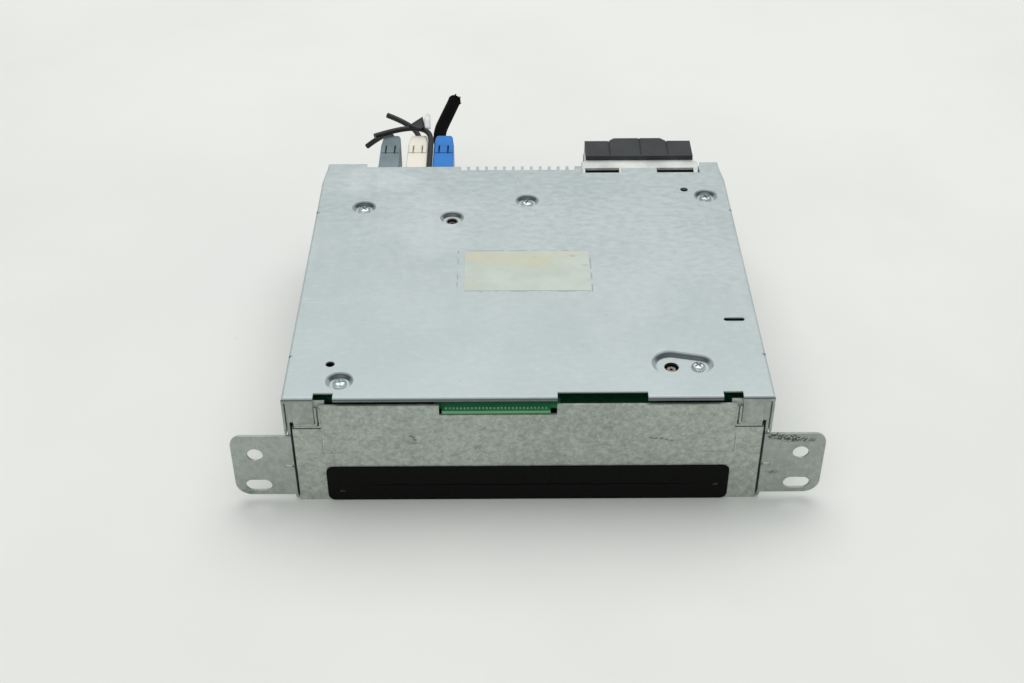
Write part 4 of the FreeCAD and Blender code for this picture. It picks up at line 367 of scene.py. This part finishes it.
label = Material("label_stock", roughness=0.42)
tint = label.noise(70.0, 5.0, 0.6)
body = label.mix(label.fit(tint, 0.35, 0.65), srgb(203, 213, 205), srgb(194, 203, 192))
fibre = label.noise(2600.0, 2.0)
body = label.mix(label.fit(fibre, 0.58, 0.72, 0.0, 0.3), body, srgb(214, 220, 212))
for x, depth, size, share, tone in ((-12.0, 90.0, 0.014, 0.6, (208, 203, 176)), (6.0, 88.0, 0.013, 0.6, (208, 205, 172)),
                                    (-22.0, 92.0, 0.006, 0.5, (212, 203, 180)), (18.0, 93.0, 0.008, 0.5, (212, 208, 186)),
                                    (19.5, 91.5, 0.0019, 0.8, (172, 184, 186)), (24.6, 84.5, 0.0017, 0.8, (176, 188, 190)),
                                    (4.0, 91.0, 0.0014, 0.7, (184, 194, 196)), (-15.0, 91.5, 0.0010, 0.6, (184, 194, 190)),
                                    (-4.5, 75.5, 0.0012, 0.6, (180, 192, 186)), (-23.0, 70.0, 0.004, 0.4, (206, 204, 184))):
    stain = label.spot(at(x, depth, CASE_TOP), size, 0.8, 0.8, (0.9, 1.6, 1))
    body = label.mix(label.math("MULTIPLY", stain, share), body, srgb(*tone))
label.set("Base Color", body)
label.set("Roughness", label.fit(tint, 0.3, 0.7, 0.36, 0.5))
label.set("Normal", label.bump(fibre, 0.00001, 0.4))
dress(label, "blank_label")

felt = Material("black_felt", roughness=1.0)
felt.set("Specular IOR Level", 0.15)
fuzz = felt.noise(2600.0, 3.0, 0.7)
lint = felt.noise(700.0, 4.0, 0.7)
body = felt.mix(felt.fit(fuzz, 0.4, 0.75), srgb(12, 14, 12), srgb(26, 28, 25))
body = felt.mix(felt.fit(lint, 0.68, 0.76, 0.0, 0.3), body, srgb(54, 58, 52))
felt.set("Base Color", body)
felt.set("Normal", felt.bump(fuzz, 0.00012, 0.9))

board = Material("board_mask", roughness=0.32)
tracks = board.cells(260.0, feature="DISTANCE_TO_EDGE").outputs["Distance"]
cloud = board.noise(40.0, 3.0)
body = board.mix(board.fit(cloud, 0.3, 0.7), srgb(24, 104, 66), srgb(34, 124, 80))
body = board.mix(board.fit(tracks, 0.03, 0.06, 0.5, 0.0), body, srgb(70, 160, 112))
split = board.node("SeparateXYZ")
board.link(board.place, split.inputs[0])
glass_edge = board.math("LESS_THAN", split.outputs["Y"], (FRONT + 0.45) / 1000)
body = board.mix(board.math("MULTIPLY", glass_edge, 0.8), body, srgb(126, 146, 92))
# Painted light and shade on the board: painted light on a strip near the front from x -34.5 to 12 mm, painted shade
# from x 12 to 47 mm under the cover's large notch, and painted shadow near the front beyond these
near_front = board.fit(split.outputs["Y"], (FRONT + 9) / 1000, (FRONT + 4) / 1000)
side_x = split.outputs["X"]
lit_strip_painted_light = board.math("MULTIPLY", board.math("GREATER_THAN", side_x, -0.0345), board.math("LESS_THAN", side_x, 0.0120))
body = board.mix(board.math("MULTIPLY", board.math("MULTIPLY", lit_strip_painted_light, near_front), 0.55), body, srgb(84, 190, 128))
notch_painted_shade = board.math("MULTIPLY", board.math("GREATER_THAN", side_x, 0.0120), board.math("LESS_THAN", side_x, 0.0470))
body = board.mix(board.math("MULTIPLY", notch_painted_shade, 0.6), body, srgb(26, 58, 40))
shaded = board.math("GREATER_THAN", board.math("ABSOLUTE", board.math("SUBTRACT", side_x, 0.0062)), 0.0408)
body = board.mix(board.math("MULTIPLY", board.math("MULTIPLY", shaded, near_front), 0.9), body, srgb(26, 34, 36))
board.set("Base Color", body)
board.set("Normal", board.bump(board.fit(tracks, 0.03, 0.06, 1.0, 0.0), 0.00003, 0.5))
dress(board, "main_board")

pads = plastic("pad_solder", (210, 244, 222), 0.3, 1500.0)
dress(pads, "board_pads")
dress(plastic("chip_epoxy", (34, 34, 35), 0.5, 1800.0), "board_chips")
dress(bare_metal("can_aluminium", (206, 208, 208), 0.35, (1, 1, 0.1)), "board_capacitors")

# Connectors, plugs and cut leads

dress(bare_metal("pin_tin", (206, 204, 196), 0.3, (1, 0.1, 1)), "connector_pins")
dress(plastic("jack_moulding", (34, 35, 36), 0.45), "jack_housings")
dress(plastic("plug_black_moulding", (44, 48, 52), 0.42, 1100.0, 0.00003, 0.0006, 0.7), "main_plug")
dress(plastic("plug_grey_moulding", (126, 144, 152), 0.42, edge=0.0005), "plug_grey")
dress(plastic("plug_cream_moulding", (248, 241, 228), 0.42, edge=0.0005, shade=0.93), "plug_cream")
dress(plastic("plug_blue_moulding", (20, 126, 214), 0.4, edge=0.0005, shade=0.84), "plug_blue")

jacket = rubber("cable_jacket", (14, 15, 16), 0.5)
weave = Material("wrapped_tape", roughness=0.95)
weave.set("Specular IOR Level", 0.1)
threads = weave.noise(1500.0, 3.0, 0.6, weave.scaled(1, 0.3, 1))
body = weave.mix(weave.fit(threads, 0.4, 0.7), srgb(2, 2, 3), srgb(12, 12, 12))
weave.set("Base Color", body)
weave.set("Normal", weave.bump(threads, 0.0001, 0.8))


def lead(name, plug_x, run, diameter, material, body, node):
    """A cut coaxial lead along its own route, with its far end bare."""
    route = [at(plug_x + across, PLUG_END + back, PLUG_Z + up) for across, back, up in run]
    curve = bpy.data.curves.new(name, "CURVE")
    curve.dimensions = "3D"
    curve.bevel_depth = diameter / 2000 / POINT_RADIUS
    curve.bevel_resolution = 6
    curve.use_fill_caps = True
    spline = curve.splines.new("NURBS")
    spline.points.add(len(route) - 1)
    for point, place in zip(spline.points, route):
        point.co = (*place, 1.0)
        point.radius = POINT_RADIUS
    spline.order_u = 3
    spline.use_endpoint_u = True
    spline.resolution_u = 12
    piece = bpy.data.objects.new(name, curve)
    bpy.context.collection.objects.link(piece)
    curve.materials.append(material.material)
    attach(piece, body)
    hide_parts(node)
    length = sum(edge.length for edge in runs_of(piece))
    return piece


def runs_of(piece):
    """Short straight pieces of a curve's own centre line."""
    bevel, piece.data.bevel_depth = piece.data.bevel_depth, 0.0
    bpy.context.view_layer.update()
    line = bpy.data.meshes.new_from_object(piece.evaluated_get(bpy.context.evaluated_depsgraph_get()))
    piece.data.bevel_depth = bevel
    ends = [[line.vertices[index].co for index in edge.vertices] for edge in line.edges]
    return [last - first for first, last in ends]


# Each lead's control points, as steps across, back and up from the end of its plug, in millimetres
GREY_RUN = ((0, 0, 0), (0, 10.6, 0), (-6.0, 18.9, -3.9), (-14.6, 18.3, -10.6))
CREAM_RUN = ((0, 0, 0), (0, 10.6, 0), (-7.4, 17.6, 3.3), (-16.7, 22.2, 4.7))
BUNDLE_RUN = ((-2.0, 0, 0), (-3.6, 10.0, 0.4), (0.2, 26.4, 1.6), (3.8, 41.4, 2.7))
SIDE_RUN = ((-6.1, -34.6, 5.5), (-6.1, -18.0, 6.1), (-6.1, -1.2, 7.5), (-12.6, 4.6, 7.6), (-23.8, 2.4, 7.5),
            (-33.2, -3.4, 7.4))

lead("grey_lead_cable", PLUG_X[0], GREY_RUN, 2.6, jacket, "grey_lead", "coax_grey")
lead("cream_lead_cable", PLUG_X[1], CREAM_RUN, 2.6, jacket, "cream_lead", "coax_cream")
lead("bundle_cable", PLUG_X[2], BUNDLE_RUN, 6.2, weave, "blue_lead", "coax_bundle")
lead("side_lead_cable", PLUG_X[2], SIDE_RUN, 2.6, jacket, "blue_lead", "coax_side")

# Mechanism

dress(plastic("acetal", (224, 221, 210), 0.4, 1200.0, shade=0.94), "roller_gear", "idler_gear", "reduction_gear",
      "mode_pinion", "roller_bushes")
dress(plastic("black_acetal", (30, 31, 33), 0.42), "disc_guide", "pinch_plate", "mode_slider", "eject_arm",
      "right_disc_lever", "left_disc_lever", "lens_holder", "turntable", "clamp_puck", "sled")
dress(rubber("roller_rubber", (26, 26, 27), 0.8), "feed_roller", "turntable_pad")
dress(bare_metal("ground_steel", (196, 198, 200), 0.22, (0.1, 1, 1)), "roller_shaft", "guide_rods", "clamp_pin",
      "lead_screw", "pivot_pins")
dress(bare_metal("motor_can", (186, 188, 188), 0.34, (1, 1, 0.2)), "loading_motor", "sled_motor", "spindle_stator")
dress(bare_metal("turned_brass", (190, 160, 96), 0.3, (1, 1, 0.2)), "motor_pinion")
dress(bare_metal("turned_stud", (132, 124, 116), 0.3, (1, 1, 0.2)), "locating_studs")
screw_steel = bare_metal("screw_zinc", (204, 212, 213), 0.3, scale=900.0)
dress(screw_steel, "case_screws", "standoffs")
kapton = plastic("flat_cable_film", (150, 104, 44), 0.3)
dress(kapton, "flat_cable")
lens = Material("lens_glass", roughness=0.05, transmission_weight=0.9)
lens.set("Base Color", lens.mix(lens.fit(lens.noise(300.0), 0.4, 0.6), srgb(150, 180, 225), srgb(176, 160, 220)))
dress(lens, "objective_lens")

# Felt with its closed lips

FELT_HALF, FELT_LOW, FELT_HIGH, FELT_THICK = 76.1, 0.2, 16.8, 0.6
SLIT_Z, SLIT_HALF = 7.8, 62.0
PIN_SITES = ((-70.6, 4.6), (71.4, 7.2))


def felt_sheet():
    """Felt pad with a slit between two lips, a rounded outline and two small pin holes."""
    mesh = bmesh.new()
    outline = []
    radius = 2.6
    for corner_x, corner_z, start in ((FELT_HALF - radius, FELT_HIGH - radius, 0), (radius - FELT_HALF, FELT_HIGH - radius, 90),
                                      (radius - FELT_HALF, FELT_LOW + radius, 180), (FELT_HALF - radius, FELT_LOW + radius, 270)):
        for step in range(7):
            angle = math.radians(start + step * 15)
            outline.append((corner_x + radius * math.cos(angle), corner_z + radius * math.sin(angle)))
    slit = []
    steps = 40
    for index in range(steps + 1):
        x = -SLIT_HALF + 2 * SLIT_HALF * index / steps
        sag = 0.12 * math.sin(index * 1.7) + 0.1 * math.sin(index * 0.6)
        open_by = 0.09 + 0.12 * math.sin(math.pi * index / steps)
        slit.append((x, SLIT_Z + sag, open_by))
    upper = [mesh.verts.new(at(x, -FELT_THICK, z + gap)) for x, z, gap in slit]
    lower = [mesh.verts.new(at(x, -FELT_THICK, z - gap)) for x, z, gap in slit[1:-1]]
    rim = [mesh.verts.new(at(x, -FELT_THICK, z)) for x, z in outline]
    edges = [mesh.edges.new((a, b)) for a, b in zip(rim, rim[1:] + rim[:1])]
    loop = upper + lower[::-1]
    edges += [mesh.edges.new((a, b)) for a, b in zip(loop, loop[1:] + loop[:1])]
    for x, z in PIN_SITES:
        ring = []
        for step in range(10):
            angle = math.radians(36 * step)
            ring.append(mesh.verts.new(at(x + 0.95 * math.cos(angle), -FELT_THICK, z + 0.95 * math.sin(angle))))
        edges += [mesh.edges.new((a, b)) for a, b in zip(ring, ring[1:] + ring[:1])]
    filled = bmesh.ops.triangle_fill(mesh, edges=edges, use_beauty=True)
    faces = [item for item in filled["geom"] if isinstance(item, bmesh.types.BMFace)]
    bmesh.ops.recalc_face_normals(mesh, faces=faces)
    data = bpy.data.meshes.new("felt_lips")
    mesh.to_mesh(data)
    mesh.free()
    piece = bpy.data.objects.new("felt_lips", data)
    bpy.context.collection.objects.link(piece)
    solid = piece.modifiers.new("thickness", "SOLIDIFY")
    solid.thickness = FELT_THICK / 1000
    solid.offset = 1.0 if data.polygons[0].normal.y > 0 else -1.0
    rounded = piece.modifiers.new("edge", "BEVEL")
    rounded.width = 0.00018
    rounded.segments = 2
    return piece


lips = felt_sheet()
dress(felt, lips)
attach(lips, "case")
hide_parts("slot_felt")

# Pieces that the scene shapes itself


def add_mesh(name, bm, material, smooth=True):
    """A new object from a bmesh, shaded smooth where its faces meet softly."""
    bmesh.ops.recalc_face_normals(bm, faces=bm.faces)
    data = bpy.data.meshes.new(name)
    bm.to_mesh(data)
    bm.free()
    for polygon in data.polygons:
        polygon.use_smooth = smooth
    if smooth:
        data.set_sharp_from_angle(angle=math.radians(40))
    piece = bpy.data.objects.new(name, data)
    bpy.context.collection.objects.link(piece)
    dress(material, piece)
    return piece


def stand_for(piece, body, slot, *nodes):
    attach(piece, body)
    if nodes:
        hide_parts(*nodes)


def lathe(bm, profile, centre, segments=32, matrix=None):
    """Turn a profile of radius and height, in millimetres, about an upright axis."""
    rings = []
    for radius, height in profile:
        ring = []
        for step in range(segments if radius > 0 else 1):
            angle = math.tau * step / segments
            place = Vector((radius * math.cos(angle), radius * math.sin(angle), height)) / 1000
            if matrix:
                place = matrix @ place
            ring.append(bm.verts.new(centre + place))
        rings.append(ring)
    for low, high in zip(rings, rings[1:]):
        for step in range(segments):
            after = (step + 1) % segments
            if len(low) == 1:
                bm.faces.new((low[0], high[step], high[after]))
            elif len(high) == 1:
                bm.faces.new((low[step], low[after], high[0]))
            else:
                bm.faces.new((low[step], low[after], high[after], high[step]))


def add_box(bm, low, high, matrix=None):
    made = bmesh.ops.create_cube(bm, size=1.0)["verts"]
    size, middle = high - low, (high + low) / 2
    for vert in made:
        vert.co = Vector((vert.co.x * size.x, vert.co.y * size.y, vert.co.z * size.z)) + middle
    if matrix:
        bmesh.ops.transform(bm, matrix=matrix, verts=made)


def cut_from(piece, bm):
    """Cut closed forms out of a piece and keep the result as its mesh."""
    data = bpy.data.meshes.new("cutter")
    bm.to_mesh(data)
    bm.free()
    cutter = bpy.data.objects.new("cutter", data)
    bpy.context.collection.objects.link(cutter)
    cut = piece.modifiers.new("cut", "BOOLEAN")
    cut.operation = "DIFFERENCE"
    cut.solver = "EXACT"
    cut.object = cutter
    bpy.context.view_layer.update()
    result = bpy.data.meshes.new_from_object(piece.evaluated_get(bpy.context.evaluated_depsgraph_get()))
    piece.modifiers.clear()
    piece.data = result
    bpy.data.objects.remove(cutter)


# Header with its two keying slots

header_nylon = plastic("header_nylon", (240, 243, 239), 0.4, 900.0)
shell = bpy.data.objects.new("header_shell", NODES["main_header"].data.copy())
bpy.context.collection.objects.link(shell)
slots = bmesh.new()
for left, right in ((28.6, 44.2), (60.8, 78.4)):
    add_box(slots, at(left, 160.0, 42.8), at(right, 171.6, 46.0))
for left, right in ((26.0, 28.6), (79.2, 82.0)):
    add_box(slots, at(left, 177.6, 25.0), at(right, 187.0, 46.0))
cut_from(shell, slots)
dress(header_nylon, shell)
stand_for(shell, "case", "header_natural", "main_header")

# Cover screws: turned pan heads with a cross recess

SCREW_SITES = ((-69.5, 10.5, 12), (-69.6, 130.2, 40), (1.4, 135.0, 65), (80.0, 138.5, 20), (64.0, 19.6, 33))
SCREW_FLOOR = 48.0
PAN_HEAD = ((0.0, 1.5), (0.9, 1.48), (1.6, 1.36), (2.2, 1.06), (2.55, 0.62), (2.65, 0.3), (2.65, 0.0), (1.25, 0.0),
            (1.25, -3.9), (0.6, -4.9), (0.0, -5.0))
LONG, SHORT = 1.6, 0.33
CROSS = ((LONG, -SHORT), (LONG, SHORT), (SHORT, SHORT), (SHORT, LONG), (-SHORT, LONG), (-SHORT, SHORT), (-LONG, SHORT),
         (-LONG, -SHORT), (-SHORT, -SHORT), (-SHORT, -LONG), (SHORT, -LONG), (SHORT, -SHORT))
screws = bmesh.new()
recesses = bmesh.new()
for x, depth, turn_deg in SCREW_SITES:
    seat = at(x, depth, SCREW_FLOOR)
    lathe(screws, PAN_HEAD, seat)
    spin = Matrix.Translation(seat) @ Matrix.Rotation(math.radians(turn_deg), 4, "Z")
    outline = [recesses.verts.new(spin @ (Vector((x, y, 0.5)) / 1000)) for x, y in CROSS]
    floor = recesses.faces.new(outline)
    raised = bmesh.ops.extrude_face_region(recesses, geom=[floor])["geom"]
    bmesh.ops.translate(recesses, verts=[part for part in raised if isinstance(part, bmesh.types.BMVert)],
                        vec=Vector((0, 0, 0.002)))
bmesh.ops.recalc_face_normals(recesses, faces=recesses.faces)
screw_set = add_mesh("pan_head_screws", screws, screw_steel)
cut_from(screw_set, recesses)
stand_for(screw_set, "case", "screw_zinc", "cover_screws")

# Deck springs and dampers, standing between the deck and the frame

SPRING_SITES = ((-29.0, 53.0), (72.0, 53.0), (22.0, 117.0))
SPRING_RADIUS, WIRE_RADIUS, SPRING_TURNS = 4.35, 0.32, 5.5
spring_low, spring_high = (corner[2] * 1000 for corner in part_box("deck_springs"))


def spring(name, x, depth):
    """A wound wire with closed ends, standing between the deck and the frame's roof."""
    curve = bpy.data.curves.new(name, "CURVE")
    curve.dimensions = "3D"
    curve.bevel_depth = WIRE_RADIUS / 1000
    curve.bevel_resolution = 2
    curve.use_fill_caps = True
    count = int(SPRING_TURNS * 20)
    wound = curve.splines.new("POLY")
    wound.points.add(count)
    low, high = spring_low + WIRE_RADIUS, spring_high - WIRE_RADIUS
    for index, point in enumerate(wound.points):
        share = index / count
        rise = min(max((share * SPRING_TURNS - 0.75) / (SPRING_TURNS - 1.5), 0.0), 1.0)
        angle = math.tau * share * SPRING_TURNS
        place = at(x + SPRING_RADIUS * math.cos(angle), depth + SPRING_RADIUS * math.sin(angle), low + (high - low) * rise)
        point.co = (*place, 1.0)
    holder = bpy.data.objects.new(name, curve)
    bpy.context.collection.objects.link(holder)
    bpy.context.view_layer.update()
    mesh = bpy.data.meshes.new_from_object(holder.evaluated_get(bpy.context.evaluated_depsgraph_get()))
    bpy.data.objects.remove(holder)
    piece = bpy.data.objects.new(name, mesh)
    bpy.context.collection.objects.link(piece)
    return piece


DAMPER = ((0.0, 0.0), (3.0, 0.0), (3.2, 0.12), (3.2, 0.3), (2.7, 0.42), (2.7, 0.58), (3.2, 0.7), (3.2, 0.88), (3.0, 1.0),
          (0.0, 1.0))
spring_steel = bare_metal("spring_wire", (188, 190, 192), 0.25)
damper_rubber = rubber("damper_rubber", (26, 26, 27), 0.8)
for index, (x, depth) in enumerate(SPRING_SITES):
    coil = spring("deck_coil_%d" % (index + 1), x, depth)
    dress(spring_steel, coil)
    dampers = bmesh.new()
    tall = spring_high - spring_low
    lathe(dampers, [(radius, share * tall) for radius, share in DAMPER], at(x, depth, spring_low))
    damper = add_mesh("deck_damper_%d" % (index + 1), dampers, damper_rubber)
    for piece, node, slot in ((coil, "deck_springs", "spring_steel"), (damper, "deck_dampers", "damper_rubber")):
        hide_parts(node)
        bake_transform(piece)

# Tape round the bundle's root, its loose fold, a pale tie and the frayed end

tape_black = rubber("tape_black", (20, 21, 22), 0.6)
pale_film = plastic("tie_film", (240, 244, 242), 0.35)
tape_low, tape_high = (Vector(corner) * 1000 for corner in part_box("tape_wrap"))
wrap = bmesh.new()
around, along = 40, 18
wrap_x, wrap_z = (tape_low.x + tape_high.x) / 2, (tape_low.z + tape_high.z) / 2
wrap_radius = (tape_high.z - tape_low.z) / 2
grid = []
for row in range(along + 1):
    ring = []
    for column in range(around):
        angle = math.tau * column / around
        lap = (row / along * 2.5 + column / around) % 1.0
        radius = wrap_radius - 0.25 + 0.25 * lap
        y = tape_low.y + (tape_high.y - tape_low.y) * row / along
        ring.append(wrap.verts.new(Vector((wrap_x + radius * math.cos(angle), y, wrap_z + radius * math.sin(angle))) / 1000))
    grid.append(ring)
for row in range(along):
    for column in range(around):
        after = (column + 1) % around
        wrap.faces.new((grid[row][column], grid[row][after], grid[row + 1][after], grid[row + 1][column]))
wrap.faces.new(grid[0])
wrap.faces.new(grid[-1][::-1])
stand_for(add_mesh("tape_turns", wrap, tape_black), "blue_lead", "tape_black", "tape_wrap")


def thin_sheet(name, corners, material, thickness, slot):
    """A small loose flap through its corners, with a thickness."""
    flap = bmesh.new()
    flap.faces.new([flap.verts.new(at(*corner)) for corner in corners])
    bmesh.ops.triangulate(flap, faces=flap.faces)
    bmesh.ops.subdivide_edges(flap, edges=flap.edges, cuts=3, use_grid_fill=True)
    piece = add_mesh(name, flap, material)
    solid = piece.modifiers.new("thickness", "SOLIDIFY")
    solid.thickness = thickness / 1000
    solid.offset = 0.0
    stand_for(piece, "blue_lead", slot)
    return piece


thin_sheet("tape_fold", ((-54.6, 210.4, 45.6), (-48.2, 217.4, 46.6), (-46.8, 209.5, 45.6), (-48.6, 207.2, 45.4)),
           tape_black, 0.5, "tape_black")
thin_sheet("tie_strip", ((-47.4, 209.0, 44.6), (-47.6, 216.0, 46.0), (-46.2, 221.0, 46.6), (-44.6, 219.5, 46.2),
                         (-44.0, 209.5, 44.6)), pale_film, 0.3, "label_paper")

draws = random.Random(7)
fray = bmesh.new()
end_x, end_back, end_up = BUNDLE_RUN[-1]
before_x, before_back, before_up = BUNDLE_RUN[-2]
end_at = at(PLUG_X[2] + end_x, PLUG_END + end_back, PLUG_Z + end_up)
along_end = Vector((end_x - before_x, end_back - before_back, end_up - before_up)).normalized()
side_end = along_end.cross(Vector((0, 0, 1))).normalized()
above_end = side_end.cross(along_end)
for _ in range(90):
    angle, reach = draws.uniform(0, math.tau), 3.0 * math.sqrt(draws.random())
    root = end_at + (side_end * math.cos(angle) + above_end * math.sin(angle)) * reach / 1000 - along_end * 0.0012
    lean = (along_end + side_end * draws.uniform(-0.35, 0.35) + above_end * draws.uniform(-0.25, 0.3)).normalized()
    turn_to = lean.to_track_quat("Z", "Y").to_matrix().to_4x4()
    tall = draws.uniform(1.4, 2.7) if draws.random() < 0.93 else draws.uniform(2.8, 3.2)
    lathe(fray, ((0.34, 0.0), (0.3, tall * 0.6), (0.05, tall)), root, 6, turn_to)
stand_for(add_mesh("bundle_fray", fray, weave), "blue_lead", "cable_black")

# Pressed beads round the cover's front tabs, and the felt's pins


def bead(name, points, radius, material, body):
    curve = bpy.data.curves.new(name, "CURVE")
    curve.dimensions = "3D"
    curve.bevel_depth = radius / 1000 / POINT_RADIUS
    curve.bevel_resolution = 3
    curve.use_fill_caps = True
    line = curve.splines.new("NURBS")
    line.points.add(len(points) - 1)
    for point, place in zip(line.points, points):
        point.co = (*at(*place), 1.0)
        point.radius = POINT_RADIUS
    line.order_u = 3
    line.use_endpoint_u = True
    piece = bpy.data.objects.new(name, curve)
    bpy.context.collection.objects.link(piece)
    curve.materials.append(material.material)
    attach(piece, body)


for side, name in ((-1, "left"), (1, "right")):
    for index, shift in enumerate((0.0, 1.4)):
        inner_x, low_z = 77.9 - shift, 37.5 - shift * 0.7
        points = [(side * 86.2, 0.25, low_z), (side * 80.5, 0.25, low_z), (side * (inner_x + 0.7), 0.25, low_z),
                  (side * inner_x, 0.25, low_z), (side * inner_x, 0.25, low_z + 0.7), (side * inner_x, 0.25, 41.5),
                  (side * inner_x, 0.25, 45.4)]
        bead("corner_bead_%s_%d" % (name, index + 1), points, 0.5, plate, "case")

pins = bmesh.new()
for x, z in PIN_SITES:
    lathe(pins, ((0.0, 0.35), (0.4, 0.32), (0.7, 0.15), (0.75, 0.0), (0.75, -0.3), (0.0, -0.3)), at(x, -0.05, z), 20,
          Matrix.Rotation(math.radians(90), 4, "X"))
gloss = plastic("pin_black", (5, 5, 5), 0.45)
stand_for(add_mesh("felt_pins", pins, gloss), "case", "black_felt")

# Floor, light and camera

floor_mesh = bpy.data.meshes.new("floor")
floor_mesh.from_pydata([(-0.5, -0.45, 0), (0.5, -0.45, 0), (0.5, 0.55, 0), (-0.5, 0.55, 0)], [], [(0, 1, 2, 3)])
floor = bpy.data.objects.new("floor", floor_mesh)
bpy.context.collection.objects.link(floor)
paint = Material("floor_paint", roughness=0.6)
cloud = paint.noise(6.0, 4.0)
body = paint.mix(paint.fit(cloud, 0.35, 0.65), srgb(242, 242, 239), srgb(237, 238, 235))
dust = paint.cells(14.0).outputs["Distance"]
sparse = paint.noise(5.0, 2.0)
speck = paint.math("MULTIPLY", paint.fit(dust, 0.012, 0.03, 1.0, 0.0), paint.fit(sparse, 0.52, 0.56))
body = paint.mix(paint.math("MULTIPLY", speck, 0.6), body, srgb(140, 142, 140))
paint.set("Base Color", body)
floor_mesh.materials.append(paint.material)


def lamp(name, place, target, size, watts, colour=(1.0, 1.0, 1.0)):
    data = bpy.data.lights.new(name, "AREA")
    data.shape = "RECTANGLE"
    data.size, data.size_y = size
    data.energy = watts
    data.color = colour
    light = bpy.data.objects.new(name, data)
    bpy.context.collection.objects.link(light)
    light.location = place
    light.rotation_euler = (Vector(target) - Vector(place)).to_track_quat("-Z", "Y").to_euler()
    return light


lamp("overhead", (0.1, 0.55, 1.5), (0, 0.0, 0), (2.1, 1.7), 18.0, (1.0, 1.0, 0.985))
lamp("front_fill", (-0.5, -1.5, 1.1), (0, 0, 0), (1.4, 1.0), 3.3, (0.98, 1.0, 1.0))
world = bpy.data.worlds.new("studio")
bpy.context.scene.world = world
world.use_nodes = True
world.node_tree.nodes["Background"].inputs["Color"].default_value = (0.93, 0.96, 0.95, 1.0)
world.node_tree.nodes["Background"].inputs["Strength"].default_value = 0.46

PITCH, YAW, ROLL = 37.5, 0.17, -0.19
camera_data = bpy.data.cameras.new("camera")
camera_data.lens = 50.0
camera_data.sensor_width = 36.0
camera = bpy.data.objects.new("camera", camera_data)
bpy.context.collection.objects.link(camera)
camera.location = (-0.0070, (FRONT - 396.7) / 1000, 0.3802)
pitch, yaw, roll = (math.radians(value) for value in (PITCH, YAW, ROLL))
forward = Vector((math.sin(yaw) * math.cos(pitch), math.cos(yaw) * math.cos(pitch), -math.sin(pitch)))
right = Vector((math.cos(yaw), -math.sin(yaw), 0.0))
above = right.cross(forward)
tilted_right = right * math.cos(roll) + above * math.sin(roll)
tilted_above = above * math.cos(roll) - right * math.sin(roll)
turn = Matrix((tilted_right, tilted_above, -forward)).transposed()
camera.rotation_euler = turn.to_euler()
bpy.context.scene.camera = camera
bpy.context.scene.view_settings.view_transform = "Standard"
